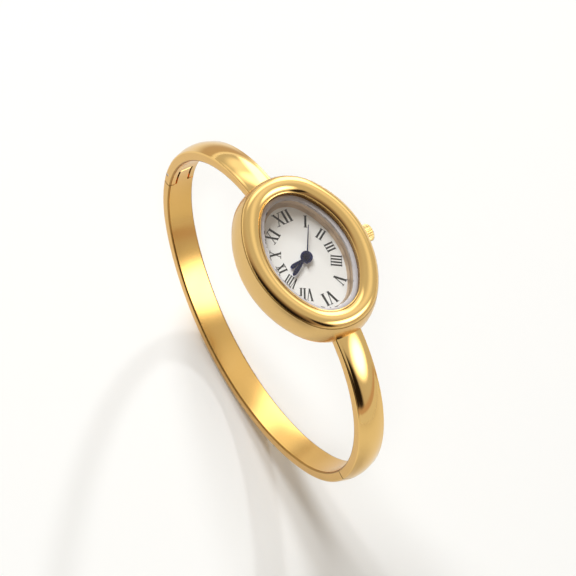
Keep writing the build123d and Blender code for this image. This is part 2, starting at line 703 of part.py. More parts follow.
def cannon_pinion():
    """Pinion on the pipe that carries the minute hand."""
    foot = PLATE_TOP_Z + FIT
    pipe = cylinder_z(CENTRE, CANNON_PIPE_RADIUS, foot, MINUTE_HAND_Z + HAND_THICKNESS)
    teeth = gear(CENTRE, CANNON_TEETH, MINUTE_MODULE, 0, CENTRE_Z + THIN_WHEEL, cannon_height(), 0)
    return pipe + teeth - cylinder_z(CENTRE, SECONDS_ARBOR_RADIUS + PIPE_CLEARANCE, 0, OPENING_EDGE_Z)


def cannon_height():
    return MINUTE_Z + THIN_WHEEL - CENTRE_Z - THIN_WHEEL


def minute_wheel():
    phase = mesh_phase(CANNON_TEETH, 0, MINUTE_TEETH, MINUTE_DIRECTION)
    teeth, module = MINUTE_TEETH, MINUTE_MODULE
    return gear(MINUTE_PLACE, teeth, module, phase, MINUTE_Z, THIN_WHEEL, ARBOR_RADIUS + FIT)


def minute_pinion():
    bottom = MINUTE_Z + THIN_WHEEL
    height = HOUR_Z + THIN_WHEEL - bottom
    return gear(MINUTE_PLACE, MINUTE_PINION_TEETH, HOUR_MODULE, 0, bottom, height, ARBOR_RADIUS + FIT)


def hour_wheel():
    """Wheel on the pipe that carries the hour hand."""
    phase = mesh_phase(MINUTE_PINION_TEETH, 0, HOUR_TEETH, MINUTE_DIRECTION + 180)
    wheel = gear(CENTRE, HOUR_TEETH, HOUR_MODULE, phase, HOUR_Z, THIN_WHEEL, 0)
    wheel += cylinder_z(CENTRE, HOUR_PIPE_RADIUS, HOUR_Z, HOUR_HAND_Z + HAND_THICKNESS)
    return wheel - cylinder_z(CENTRE, CANNON_PIPE_RADIUS + PIPE_CLEARANCE, 0, OPENING_EDGE_Z)


def dial_washer():
    """Thin spring washer that keeps the hour wheel down."""
    bottom = HOUR_Z + THIN_WHEEL + FIT
    outer = 2 * HOUR_PIPE_RADIUS
    ring = cylinder_z(CENTRE, outer, bottom, DIAL_BOTTOM_Z)
    return ring - cylinder_z(CENTRE, HOUR_PIPE_RADIUS + PIPE_CLEARANCE, 0, OPENING_EDGE_Z)


# Hands


def leaf_hand(length, pipe_radius, bottom, degrees):
    """A leaf-shaped hand with a round hub, pointing clockwise from 12 o'clock."""
    half = HAND_BLADE_WIDTH / 2
    neck = HAND_NECK_SHARE * half
    places = [(neck, 0), (half, HAND_BELLY_SHARE * length), (0, length)]
    right = Spline(places, tangents=[(0, 1), (-1, 0)])
    left = mirror(right, Plane.YZ)
    blade = make_face([right, left, Line((-neck, 0), (neck, 0))])
    face = Circle(HAND_HUB_RADIUS) + blade - Circle(pipe_radius)
    return Rot(0, 0, -degrees) * extrude(Pos(0, 0, bottom) * face, HAND_THICKNESS)


def hour_hand():
    return leaf_hand(HOUR_HAND_LENGTH, HOUR_PIPE_RADIUS, HOUR_HAND_Z, SHOWN_HOUR * 360 / 12)


def minute_hand():
    minutes = SHOWN_HOUR % 1 * 360
    return leaf_hand(MINUTE_HAND_LENGTH, CANNON_PIPE_RADIUS, MINUTE_HAND_Z, minutes)


def seconds_hand():
    """Thin needle with a short tail and a small cap over the arbor."""
    half = SECONDS_HAND_WIDTH / 2
    tail, length = HAND_TAIL_LENGTH, SECONDS_HAND_LENGTH
    corners = [(-half, -tail), (half, -tail), (half / 2, length), (-half / 2, length)]
    needle = make_face(Polyline(*corners, close=True))
    face = needle + Circle(SECONDS_HUB_RADIUS) - Circle(SECONDS_ARBOR_RADIUS)
    hand = extrude(Pos(0, 0, SECONDS_HAND_Z) * face, HAND_THICKNESS)
    top = SECONDS_HAND_Z + HAND_THICKNESS
    hand += cylinder_z(CENTRE, SECONDS_HUB_RADIUS, top, top + SECONDS_CAP_HEIGHT)
    return Rot(0, 0, -SHOWN_SECOND * 360 / 60) * hand


# Crown and keyless works


def case_side_x():
    """Outside of the mid-case at 3 o'clock."""
    return OPENING_HALF_WIDTH + MID_CASE_OFFSET


def crown_start():
    return case_side_x() + CROWN_CASE_GAP


def crown_tube():
    start = OPENING_HALF_WIDTH + CAVITY_OFFSET
    length = case_side_x() + TUBE_PROUD - start
    return cylinder_x(start, TUBE_RADIUS, length) - cylinder_x(0, TUBE_BORE, 2 * case_side_x())


def crown():
    """Fluted crown with a domed end and a recess for the tube and its ring."""
    start, end = crown_start(), crown_start() + CROWN_LENGTH
    inner, flute = CROWN_RADIUS - CROWN_FLUTE_DEPTH, 360 / CROWN_FLUTES
    points = []
    for turn in range(CROWN_FLUTES):
        points += [polar(CROWN_RADIUS, turn * flute), polar(CROWN_RADIUS, (turn + CROWN_RIB_SHARE) * flute)]
        points += [polar(inner, (turn + (1 + CROWN_RIB_SHARE) / 2) * flute)]
    face = Plane(origin=(start, 0, STEM_Z), x_dir=(0, 1, 0), z_dir=(1, 0, 0))
    knob = extrude(face * make_face(Polyline(*points, close=True)), CROWN_LENGTH)
    profile = [
        Line((end, 0), (end, inner)),
        TangentArc((end + CROWN_DOME, 0), (end, inner), tangent=(0, 1)),
        Line((end + CROWN_DOME, 0), (end, 0)),
    ]
    knob += Pos(0, 0, STEM_Z) * revolve(make_face(profile), Axis.X, 360)
    recess = TUBE_PROUD + CROWN_CASE_GAP + SEAT
    knob -= cylinder_x(start - OVERRUN, TUBE_RADIUS + FIT, OVERRUN + recess - CROWN_CASE_GAP)
    knob -= cylinder_x(start + SEAT, TUBE_RADIUS + O_RING_WIDTH, O_RING_LENGTH + FIT)
    return knob - cylinder_x(start, STEM_RADIUS, recess + STEM_TRAVEL)


def crown_gasket():
    x = crown_start() + SEAT + FIT / 2
    ring = cylinder_x(x, TUBE_RADIUS + O_RING_WIDTH - FIT, O_RING_LENGTH)
    return ring - cylinder_x(0, TUBE_RADIUS + FIT, 2 * case_side_x())


def setting_stem():
    """Stem with a collar, whose groove takes the setting lever."""
    recess = TUBE_PROUD + CROWN_CASE_GAP + SEAT
    end = crown_start() + recess + STEM_TRAVEL - SEAT
    stem = cylinder_x(STEM_INNER_X, STEM_RADIUS, end - STEM_INNER_X)
    width = 3 * LEVER_THICKNESS
    middle = LEVER_X + LEVER_THICKNESS / 2
    stem += cylinder_x(middle - width / 2, STEM_COLLAR_RADIUS, width)
    groove = cylinder_x(LEVER_X - FIT, STEM_COLLAR_RADIUS + FIT, LEVER_THICKNESS + 2 * FIT)
    return stem - (groove - cylinder_x(0, STEM_RADIUS - SEAT, case_side_x()))


def sliding_pinion():
    """Toothed clutch that slides on the stem and turns with it."""
    start, length = SLIDING_PINION_X, SLIDING_PINION_LENGTH
    module = 2 * SLIDING_PINION_RADIUS / (SLIDING_PINION_TEETH + 2 * TOOTH_TOP_SHARE)
    third = length / 3
    face = Plane(origin=(start, 0, STEM_Z), x_dir=(0, 1, 0), z_dir=(1, 0, 0))
    pinion = extrude(face * gear_face(SLIDING_PINION_TEETH, module, 0), third)
    pinion += cylinder_x(start, SLIDING_PINION_GROOVE_RADIUS, length)
    pinion += cylinder_x(start + 2 * third, SLIDING_PINION_RADIUS - 2 * SEAT, third)
    return pinion - cylinder_x(0, STEM_RADIUS + FIT, case_side_x())


def fork(x, side, neck_radius, reach):
    """A sliding plate below the main plate, forked round a groove on the stem."""
    thick = LEVER_THICKNESS
    y0, y1 = sorted((0, side * reach))
    plate = block(x, x + thick, y0, y1, STEM_Z - LEVER_HEIGHT / 2, MAIN_PLATE_Z - FIT)
    return plate - cylinder_x(x - OVERRUN, neck_radius + FIT, 2 * OVERRUN + thick)


def setting_lever():
    return fork(LEVER_X, 1, STEM_RADIUS - SEAT, LEVER_REACH)


def yoke():
    middle = SLIDING_PINION_X + SLIDING_PINION_LENGTH / 2
    return fork(middle - LEVER_THICKNESS / 2 + FIT / 2, -1, SLIDING_PINION_GROOVE_RADIUS, LEVER_REACH)


# Bangle


def band_section():
    """Section of the bangle: flat inside with bevelled edges, straight sides, domed outside."""
    half, side = BAND_HALF_WIDTH, BAND_SIDE_HEIGHT
    bevel = BAND_INNER_BEVEL
    dome = ThreePointArc((side, half), (side + BAND_CROWN, 0), (side, -half))
    edges = Polyline(
        (side, -half), (bevel, -half), (0, bevel - half), (0, half - bevel), (bevel, half), (side, half)
    )
    return make_face([dome, edges])


def ring_bottom_radius():
    """Radius of the lower arc, tangent to both side arcs where they join it."""
    return RING_SIDE_RADIUS + RING_SIDE_Y / math.cos(math.radians(RING_JOIN_ANGLE))


def ring_bottom_z():
    """Height of the lower arc's centre."""
    return RING_SIDE_Z - RING_SIDE_Y * math.tan(math.radians(RING_JOIN_ANGLE))


def arm_root_angle():
    """Angle on the side arc where an arm ends inside the case wall."""
    return math.degrees(math.atan2(ARM_ROOT_Z - RING_SIDE_Z, ARM_ROOT_Y - RING_SIDE_Y))


def band_sector(centre_y, centre_z, radius, start, sweep):
    angle = math.radians(start)
    along = (0, math.cos(angle), math.sin(angle))
    plane = Plane(origin=(0, centre_y, centre_z), x_dir=along, z_dir=(0, along[2], -along[1]))
    axis = Axis((0, centre_y, centre_z), (1, 0, 0))
    return revolve(plane * Pos(radius, 0) * band_section(), axis, sweep)


def side_angle(z):
    """Angle on the side arc where the inner face has this height."""
    return math.degrees(math.asin((z - RING_SIDE_Z) / RING_SIDE_RADIUS))


def side_sector(side, low, high):
    """Part of the arc at 12 o'clock (side 1) or 6 o'clock (side -1), between two angles."""
    if side > 0:
        return band_sector(RING_SIDE_Y, RING_SIDE_Z, RING_SIDE_RADIUS, low, high - low)
    return band_sector(-RING_SIDE_Y, RING_SIDE_Z, RING_SIDE_RADIUS, 180 - high, high - low)


def pin_y():
    return RING_HALF_WIDTH + HINGE_DEPTH


def hinge_cylinder(radius, width):
    return Pos(0, pin_y(), HINGE_Z) * Rot(0, 90, 0) * Cylinder(radius, width)


def hinge_slab(width, bottom, top):
    """A block round the hinge, this wide along X, between two heights from the pin."""
    y = pin_y()
    reach = KNUCKLE_RADIUS + OVERRUN
    return block(-width / 2, width / 2, y - reach, y + reach, HINGE_Z + bottom, HINGE_Z + top)


def dowel(side, clearance=0.0):
    """Locating pin along Y, half in the case wall and half in the arm."""
    outer = OPENING_HALF_LENGTH + MID_CASE_OFFSET
    start = outer - DOWEL_SHARE * DOWEL_LENGTH
    pin = Cylinder(DOWEL_RADIUS + clearance, DOWEL_LENGTH + 2 * clearance)
    return Pos(0, side * (start + DOWEL_LENGTH / 2), DOWEL_Z) * Rot(90, 0, 0) * pin


def arm_dowels():
    return [dowel(side) for side in (-1, 1)]


def upper_arm():
    """Short arm at 12 o'clock, ending in the hinge's two ears."""
    reach = side_angle(HINGE_Z - EAR_RADIUS - OVERRUN)
    arm = side_sector(1, reach, arm_root_angle()) - mid_case_envelope()
    wide = 2 * BAND_HALF_WIDTH + OVERRUN
    below = hinge_slab(wide, -2 * EAR_RADIUS - OVERRUN, 0) - hinge_cylinder(EAR_RADIUS, wide + OVERRUN)
    notch_width = KNUCKLE_WIDTH + 2 * KNUCKLE_GAP
    notch = hinge_slab(notch_width, -2 * EAR_RADIUS, 0)
    notch += hinge_cylinder(KNUCKLE_RADIUS + EAR_GAP, notch_width)
    arm = arm - below - notch - dowel(1, FIT)
    return arm - hinge_cylinder(PIN_RADIUS + FIT / 2, wide)


def hinge_pin():
    return hinge_cylinder(PIN_RADIUS, 2 * BAND_HALF_WIDTH - 2 * SEAT)


def tongue_place():
    """Inner face of the clasp tongue, as a distance from the hands' axis along Y."""
    return RING_HALF_WIDTH + TONGUE_DEPTH


def lower_arm():
    """Short arm at 6 o'clock, with the socket of the clasp."""
    arm = side_sector(-1, side_angle(CLASP_Z + CLASP_GAP), arm_root_angle()) - mid_case_envelope()
    y_inner = -tongue_place() + SOCKET_CLEARANCE
    y_outer = -tongue_place() - TONGUE_THICKNESS - SOCKET_OUTER_CLEARANCE
    half = TONGUE_WIDTH / 2 + SOCKET_CLEARANCE
    top = CLASP_Z + TONGUE_LENGTH + SOCKET_OUTER_CLEARANCE
    return arm - block(-half, half, y_outer, y_inner, CLASP_Z - OVERRUN, top) - dowel(-1, FIT)


def lower_band():
    """Long lower half of the bangle, from the hinge's knuckle to the clasp's face."""
    join = RING_JOIN_ANGLE
    hinge_side = side_sector(1, join, side_angle(HINGE_Z + KNUCKLE_RADIUS + OVERRUN))
    clasp_side = side_sector(-1, join, side_angle(CLASP_Z))
    bottom = band_sector(0, ring_bottom_z(), ring_bottom_radius(), 180 - join, 2 * join + 180)
    wide = 2 * BAND_HALF_WIDTH + OVERRUN
    above = hinge_slab(wide, 0, 2 * KNUCKLE_RADIUS + OVERRUN)
    knuckle_end = above - hinge_cylinder(KNUCKLE_RADIUS, wide + OVERRUN)
    shoulders = above + hinge_cylinder(EAR_RADIUS + EAR_GAP, wide)
    shoulders -= hinge_slab(KNUCKLE_WIDTH, -2 * EAR_RADIUS - OVERRUN, 2 * EAR_RADIUS + OVERRUN)
    band = hinge_side - knuckle_end - shoulders + bottom + clasp_side
    band -= hinge_cylinder(PIN_RADIUS + PIN_FIT, wide)
    band -= tongue_blank(FIT)
    return band - rivet(FIT)


def tongue_blank(clearance=0.0):
    """The tongue's flat blade, from its root in the lower half to its nose in the arm."""
    y = -tongue_place()
    half = TONGUE_WIDTH / 2 + clearance
    inner, outer = y + clearance, y - TONGUE_THICKNESS - clearance
    return block(-half, half, outer, inner, CLASP_Z - TONGUE_ROOT - clearance, CLASP_Z + TONGUE_LENGTH)


def rivet(clearance=0.0):
    y = -RING_HALF_WIDTH - BAND_SIDE_HEIGHT
    z = CLASP_Z - TONGUE_ROOT / 2
    pin = Cylinder(RIVET_RADIUS + clearance, BAND_SIDE_HEIGHT + 2 * clearance)
    return Pos(0, y + BAND_SIDE_HEIGHT / 2 + 2 * SEAT, z) * Rot(90, 0, 0) * pin


def clasp_tongue():
    blade = tongue_blank()
    tip = blade.edges().group_by(Axis.Z)[-1].filter_by(Axis.X)
    return chamfer(tip, TONGUE_NOSE) - rivet(FIT)


def tongue_rivet():
    return rivet()


PARTS = {
    "bezel": bezel,
    "mid_case": mid_case,
    "crystal": crystal,
    "crystal_gasket": crystal_gasket,
    "rehaut_ring": rehaut_ring,
    "dial": dial,
    "case_back": case_back,
    "back_gasket": back_gasket,
    "movement_holder": movement_holder,
    "main_plate": main_plate,
    "train_bridge": train_bridge,
    "bridge_screws": bridge_screws,
    "board_screws": board_screws,
    "battery": battery,
    "battery_clip": battery_clip,
    "coil_core": coil_core,
    "coil": coil,
    "stator": stator,
    "circuit_board": circuit_board,
    "quartz_crystal": quartz_crystal,
    "rotor": rotor,
    "intermediate_wheel": intermediate_wheel,
    "intermediate_pinion": intermediate_pinion,
    "seconds_wheel": seconds_wheel,
    "seconds_pinion": seconds_pinion,
    "third_wheel": third_wheel,
    "third_pinion": third_pinion,
    "centre_wheel": centre_wheel,
    "cannon_pinion": cannon_pinion,
    "minute_wheel": minute_wheel,
    "minute_pinion": minute_pinion,
    "hour_wheel": hour_wheel,
    "dial_washer": dial_washer,
    "hour_hand": hour_hand,
    "minute_hand": minute_hand,
    "seconds_hand": seconds_hand,
    "crown_tube": crown_tube,
    "crown": crown,
    "crown_gasket": crown_gasket,
    "setting_stem": setting_stem,
    "sliding_pinion": sliding_pinion,
    "setting_lever": setting_lever,
    "yoke": yoke,
    "arm_dowels": arm_dowels,
    "upper_arm": upper_arm,
    "hinge_pin": hinge_pin,
    "lower_arm": lower_arm,
    "lower_band": lower_band,
    "clasp_tongue": clasp_tongue,
    "tongue_rivet": tongue_rivet,
}

os.makedirs("parts", exist_ok=True)
for name, make in PARTS.items():
    shape = make()
    if isinstance(shape, list):
        shape = Compound(children=shape)
    export_step(shape, f"parts/{name}.step")
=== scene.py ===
"""Dress the bangle watch: smooth polished gold, silver dial with roman numerals, studio light."""

import math

import bmesh
import bpy
from mathutils import Matrix, Vector


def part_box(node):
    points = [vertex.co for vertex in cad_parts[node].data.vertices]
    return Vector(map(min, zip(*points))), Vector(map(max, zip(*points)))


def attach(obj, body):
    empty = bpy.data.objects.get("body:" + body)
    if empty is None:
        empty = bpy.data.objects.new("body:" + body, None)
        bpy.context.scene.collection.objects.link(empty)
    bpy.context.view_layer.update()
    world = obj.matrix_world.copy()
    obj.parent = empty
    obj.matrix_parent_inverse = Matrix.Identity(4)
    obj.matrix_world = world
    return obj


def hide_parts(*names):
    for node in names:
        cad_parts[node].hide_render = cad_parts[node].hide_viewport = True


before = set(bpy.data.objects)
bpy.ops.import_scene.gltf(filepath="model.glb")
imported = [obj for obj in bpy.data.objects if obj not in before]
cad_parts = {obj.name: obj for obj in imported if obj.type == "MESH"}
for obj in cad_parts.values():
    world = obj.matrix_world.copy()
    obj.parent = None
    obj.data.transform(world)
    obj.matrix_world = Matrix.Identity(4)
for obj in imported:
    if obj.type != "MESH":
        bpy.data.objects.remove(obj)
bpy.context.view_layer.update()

# One millimetre in metres: the sizes below are in millimetres
MM = 0.001

# Case
OPENING_HALF_LENGTH = 10.56
OPENING_HALF_WIDTH = 7.18
OPENING_END_RADIUS = 5.4
CASE_TOP_Z = 6.2
BEZEL_EDGE_Z = 6.36
BEZEL_CREST_Z = 7.44
BEZEL_CREST_OFFSET = 1.62
BEZEL_WIDTH = 3.19
BEZEL_INNER_ROUND = 0.14
BEZEL_OUTER_ROUND = 0.1
OPENING_EDGE_Z = 6.72
SPIGOT_BOTTOM_Z = 4.2
SPIGOT_WALL = 0.82
CASE_TOP_OFFSET = 3.06
MID_CASE_OFFSET = 3.77
MID_CASE_WIDEST_Z = 2.75
MID_CASE_BOTTOM_OFFSET = 2.3
MID_CASE_BOTTOM_Z = 0.3
MID_CASE_TOP_ROUND = 0.12
CAVITY_OFFSET = 0.9
BACK_OFFSET = 1.6
BACK_LEDGE_Z = 0.95
FIT = 0.02
SEAT = 0.05

# Pieces of the case: steps round the oval and along the arcs of the profiles, and in degrees where the
# small rounds start and end
OVAL_END_STEPS = 72
OVAL_SIDE_STEPS = 44
BEZEL_INNER_STEPS = 24
BEZEL_OUTER_STEPS = 28
MID_CASE_UPPER_STEPS = 18
MID_CASE_LOWER_STEPS = 22
ROUND_STEPS = 5
BEZEL_LIP_TURN = (180, 110)
BEZEL_UNDER_TURN = (0, -80)
MID_CASE_TOP_TURN = (10, 90)

# Glass, its seal and the wall below it
GLASS_BOTTOM_Z = 5.0
GLASS_TOP_Z = 5.78
GLASS_INSET = 0.76
GLASS_BEVEL = 0.08
GASKET_EDGE = 0.06
REHAUT_TOP_INSET = 0.66
REHAUT_BOTTOM_INSET = 1.28
REHAUT_RIDGE_Z = 4.32
REHAUT_RIDGE_RADIUS = 0.04
REHAUT_RIDGE_TURN = (200, 60)
REHAUT_RIDGE_STEPS = 6
DIAL_TOP_Z = 3.62

# Bangle
BAND_HALF_WIDTH = 2.48
BAND_SIDE_HEIGHT = 1.62
BAND_CROWN = 0.695
BAND_INNER_ROUND = 0.36
BAND_OUTER_ROUND = 0.4
RING_HALF_WIDTH = 28.8
RING_SIDE_RADIUS = 21.4
RING_SIDE_Z = -19.16
RING_BOTTOM_Z = -43.99
ARM_START_ANGLE = 77.0
BAND_ROUND_STEPS = 6
BAND_DOME_STEPS = 22
STATION_ANGLE = 0.9

# Hinge and clasp
HINGE_Z = -21.6
PIN_Y = 29.95
PIN_RADIUS = 0.3
PIN_STEPS = 24
KNUCKLE_WIDTH = 2.0
KNUCKLE_RADIUS = 2.6
KNUCKLE_GAP = 0.375
KNUCKLE_STEPS = 40
EAR_RADIUS = 2.14
EAR_GAP = 0.16
CLASP_Z = -22.2
CLASP_GAP = 0.18
SOCKET_HALF_WIDTH = 1.29
SOCKET_INNER_Y = -29.38
SOCKET_OUTER_Y = -30.36
SOCKET_LENGTH = 4.74
OVERRUN = 2.0

# Crown; CROWN_EDGE_DEPTH is a share of the flutes' depth
STEM_Z = 2.0
CROWN_START_X = 11.13
CROWN_RADIUS = 1.5
CROWN_LENGTH = 1.95
CROWN_DOME = 0.42
CROWN_DOME_STEPS = 12
CROWN_FLUTES = 22
CROWN_FLUTE_DEPTH = 0.14
CROWN_FLUTE_STEPS = 10
CROWN_EDGE = 0.12
CROWN_EDGE_DEPTH = 0.6
CROWN_RECESS_RADIUS = 0.77
CROWN_RECESS_DEPTH = 0.6
CROWN_MIDDLE_RADIUS = 0.001

# Hands
HOUR_HAND_Z = 3.86
MINUTE_HAND_Z = 4.1
SECONDS_HAND_Z = 4.34
HAND_THICKNESS = 0.12
HOUR_HAND_LENGTH = 3.4
MINUTE_HAND_LENGTH = 4.2
SECONDS_HAND_LENGTH = 5.45
SECONDS_HAND_WIDTH = 0.24
SECONDS_HAND_RIDGE = 0.02
SECONDS_TIP_SHARE = 0.5
SECONDS_TAIL = 1.35
HAND_HUB_RADIUS = 1.0
HAND_HUB_STEPS = 48
HAND_BLADE_HALF = 0.36
HAND_BLADE_STEPS = 40
HAND_TIP_HALF = 0.01
HAND_RIDGE = 0.04
HAND_NECK_SHARE = 0.4
HAND_BELLY_SHARE = 0.76
HAND_HUB_BEVEL = 0.05
SECONDS_HUB_RADIUS = 0.5
SECONDS_CAP_TOP = 0.28
SHOWN_HOUR = 8.675
SHOWN_SECOND = 5.5
HOUR_ANGLE = 30
SECOND_ANGLE = 6

# Numerals; their limit of width grows towards the dial's ends by a power of the share
NUMERAL_HALF_WIDTH = 4.62
NUMERAL_HALF_LENGTH = 7.58
NUMERAL_SIDE_HEIGHT = 1.55
NUMERAL_END_HEIGHT = 2.2
NUMERAL_SIDE_WIDEST = 1.95
NUMERAL_END_WIDEST = 3.0
NUMERAL_WIDEST_POWER = 8
NUMERAL_SIDE_SQUEEZE = 0.8
NUMERAL_END_SQUEEZE = 1.1
NUMERAL_THICK = 0.34
NUMERAL_THIN = 0.13
NUMERAL_SERIF = 0.1
NUMERAL_RAISE = 0.02

# Letters: half a serif as a share of the thick stroke, the width of V and X as a share of their height, and
# the rest as shares of half a serif
SERIF_SHARE = 0.82
LETTER_WIDTH_SHARE = 0.62
LETTER_LEFT_SHARE = 0.8
LETTER_RIGHT_SHARE = 0.6
SHORT_SERIF_SHARE = 0.8

# Angles in degrees from which an edge is drawn sharp
SHARP_ANGLE = 35.0
CASE_SHARP_ANGLE = 50.0

# Cosines that tell faces apart by the way they are turned: the band's inside, its flat sides and the edge
# between them, and the upright faces of the bezel's bore and of the glass
INSIDE_TURN = 0.6
SIDE_TURN = 0.98
EDGE_TURN = 0.15
BORE_TURN = 0.5
GLASS_RIM_TURN = 0.3


# Mesh helpers


def mesh_object(name, points, faces):
    """An object from points in millimetres, with its faces turned outwards."""
    mesh = bpy.data.meshes.new(name)
    mesh.from_pydata([Vector(p) * MM for p in points], [], faces)
    work = bmesh.new()
    work.from_mesh(mesh)
    bmesh.ops.recalc_face_normals(work, faces=work.faces)
    work.to_mesh(mesh)
    work.free()
    piece = bpy.data.objects.new(name, mesh)
    bpy.context.scene.collection.objects.link(piece)
    return piece


def add_mesh(name, shape, material, body, stands_for=(), sharp=SHARP_ANGLE):
    """A smooth-shaded piece from points and faces, riding on a body in place of CAD nodes."""
    piece = mesh_object(name, *shape)
    piece.data.shade_smooth()
    piece.data.set_sharp_from_angle(angle=math.radians(sharp))
    piece.data.materials.append(material)
    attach(piece, body)
    if stands_for:
        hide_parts(*stands_for)
    return piece


def second_material(piece, material, chosen):
    """Give another material to the faces that chosen picks."""
    piece.data.materials.append(material)
    for face in piece.data.polygons:
        if chosen(face):
            face.material_index = 1


def grid_faces(rows, columns, closed=False):
    """Quads between closed rows of points; closed joins the last row to the first."""
    faces = []
    for row in range(rows if closed else rows - 1):
        start, after = row * columns, (row + 1) % rows * columns
        for column in range(columns):
            beside = (column + 1) % columns
            faces.append((start + column, start + beside, after + beside, after + column))
    return faces


def tube_faces(rows, columns):
    """Quads between closed rows of points, with a cap on the first and on the last row."""
    last = (rows - 1) * columns
    return grid_faces(rows, columns) + [tuple(range(columns)), tuple(range(last, last + columns))]


def joined(shapes):
    """Points and faces of several shapes as one."""
    points, faces = [], []
    for more_points, more_faces in shapes:
        base = len(points)
        points += more_points
        faces += [tuple(base + index for index in face) for face in more_faces]
    return points, faces


def arc(centre, radius, start, end, steps):
    """Points of an arc in the plane, between two angles in degrees."""
    points = []
    for step in range(steps + 1):
        angle = math.radians(start + (end - start) * step / steps)
        points.append((centre[0] + radius * math.cos(angle), centre[1] + radius * math.sin(angle)))
    return points


def circle(centre, radius, steps):
    """Points of a whole circle, each of them once."""
    return arc(centre, radius, 0, 360 - 360 / steps, steps - 1)


def level_arc(crest, end, steps):
    """Points from a crest, where the arc is level, to its lower end."""
    run, drop = abs(end[0] - crest[0]), crest[1] - end[1]
    radius = (run * run + drop * drop) / (2 * drop)
    side = 1 if end[0] > crest[0] else -1
    turn = math.degrees(math.asin(min(1.0, run / radius)))
    return arc((crest[0], crest[1] - radius), radius, 90, 90 - side * turn, steps)


def upright_arc(widest, end, steps):
    """Points from the widest place, where the arc stands upright, to an end further in."""
    inward, height = widest[0] - end[0], abs(end[1] - widest[1])
    radius = (inward * inward + height * height) / (2 * inward)
    side = 1 if end[1] > widest[1] else -1
    turn = math.degrees(math.asin(min(1.0, height / radius)))
    return arc((widest[0] - radius, widest[1]), radius, 0, side * turn, steps)


# Case


def oval_directions():
    """Centre, radius and direction of points round the dial opening's oval."""
    a, b, r = OPENING_HALF_LENGTH, OPENING_HALF_WIDTH, OPENING_END_RADIUS
    side = (a * a + b * b - 2 * a * r) / (2 * (b - r))
    side_x, end_y = side - b, a - r
    turn = math.atan2(end_y, side_x)
    arcs = [
        ((-side_x, 0), side, -turn, turn, OVAL_SIDE_STEPS),
        ((0, end_y), r, turn, math.pi - turn, OVAL_END_STEPS),
        ((side_x, 0), side, math.pi - turn, math.pi + turn, OVAL_SIDE_STEPS),
        ((0, -end_y), r, math.pi + turn, 2 * math.pi - turn, OVAL_END_STEPS),
    ]
    places = []
    for centre, radius, start, end, steps in arcs:
        for step in range(steps):
            angle = start + (end - start) * step / steps
            places.append((centre, radius, math.cos(angle), math.sin(angle)))
    return places


OVAL = oval_directions()


def oval_points(profile):
    """Points of a profile of (offset, z) carried round the oval, one ring after another."""
    points = []
    for offset, z in profile:
        points += [(c[0] + (r + offset) * x, c[1] + (r + offset) * y, z) for c, r, x, y in OVAL]
    return points


def oval_sweep(profile):
    """Points and faces of a closed profile carried round the oval."""
    return oval_points(profile), grid_faces(len(profile), len(OVAL), closed=True)


def bezel_profile():
    """Domed ring with a rounded lip at the opening and a spigot that goes into the case."""
    crest = (BEZEL_CREST_OFFSET, BEZEL_CREST_Z)
    lip_centre = (BEZEL_INNER_ROUND, OPENING_EDGE_Z - BEZEL_INNER_ROUND)
    under_centre = (BEZEL_WIDTH - BEZEL_OUTER_ROUND, BEZEL_EDGE_Z - FIT)
    lip = arc(lip_centre, BEZEL_INNER_ROUND, *BEZEL_LIP_TURN, ROUND_STEPS)
    inner = level_arc(crest, (BEZEL_INNER_ROUND, OPENING_EDGE_Z), BEZEL_INNER_STEPS)
    outer = level_arc(crest, (BEZEL_WIDTH - FIT, BEZEL_EDGE_Z), BEZEL_OUTER_STEPS)
    under = arc(under_centre, BEZEL_OUTER_ROUND, *BEZEL_UNDER_TURN, ROUND_STEPS)
    spigot = [(CASE_TOP_OFFSET, CASE_TOP_Z), (SPIGOT_WALL, CASE_TOP_Z), (SPIGOT_WALL, SPIGOT_BOTTOM_Z)]
    return [(0, SPIGOT_BOTTOM_Z)] + lip + inner[::-1] + outer[1:] + under + spigot


def mid_case_profile():
    """Bulging side of the case, with the bezel's seat on top and the opening for the back below."""
    widest = (MID_CASE_OFFSET, MID_CASE_WIDEST_Z)
    top_z = CASE_TOP_Z - MID_CASE_TOP_ROUND
    corner_centre = (CASE_TOP_OFFSET + FIT - MID_CASE_TOP_ROUND, top_z)
    upper = upright_arc(widest, (CASE_TOP_OFFSET + FIT, top_z), MID_CASE_UPPER_STEPS)
    lower = upright_arc(widest, (MID_CASE_BOTTOM_OFFSET, MID_CASE_BOTTOM_Z), MID_CASE_LOWER_STEPS)
    corner = arc(corner_centre, MID_CASE_TOP_ROUND, *MID_CASE_TOP_TURN, ROUND_STEPS)
    back_hole = BACK_OFFSET + SEAT
    inside = [
        (SPIGOT_WALL + FIT, CASE_TOP_Z),
        (CAVITY_OFFSET, CASE_TOP_Z - FIT),
        (CAVITY_OFFSET, BACK_LEDGE_Z),
        (back_hole, BACK_LEDGE_Z),
        (back_hole, MID_CASE_BOTTOM_Z),
    ]
    return lower[::-1] + upper[1:] + corner + inside


def rehaut_profile():
    """Sloping wall between the glass and the dial, with a small ridge half-way up."""
    bottom, top = DIAL_TOP_Z + FIT, GLASS_BOTTOM_Z - FIT
    ridge_centre = (-(REHAUT_TOP_INSET + REHAUT_BOTTOM_INSET) / 2, REHAUT_RIDGE_Z)
    ridge = arc(ridge_centre, REHAUT_RIDGE_RADIUS, *REHAUT_RIDGE_TURN, REHAUT_RIDGE_STEPS)
    back = [(-REHAUT_TOP_INSET - FIT, top), (-SEAT, top), (-SEAT, bottom)]
    return [(-REHAUT_BOTTOM_INSET, bottom)] + ridge + back


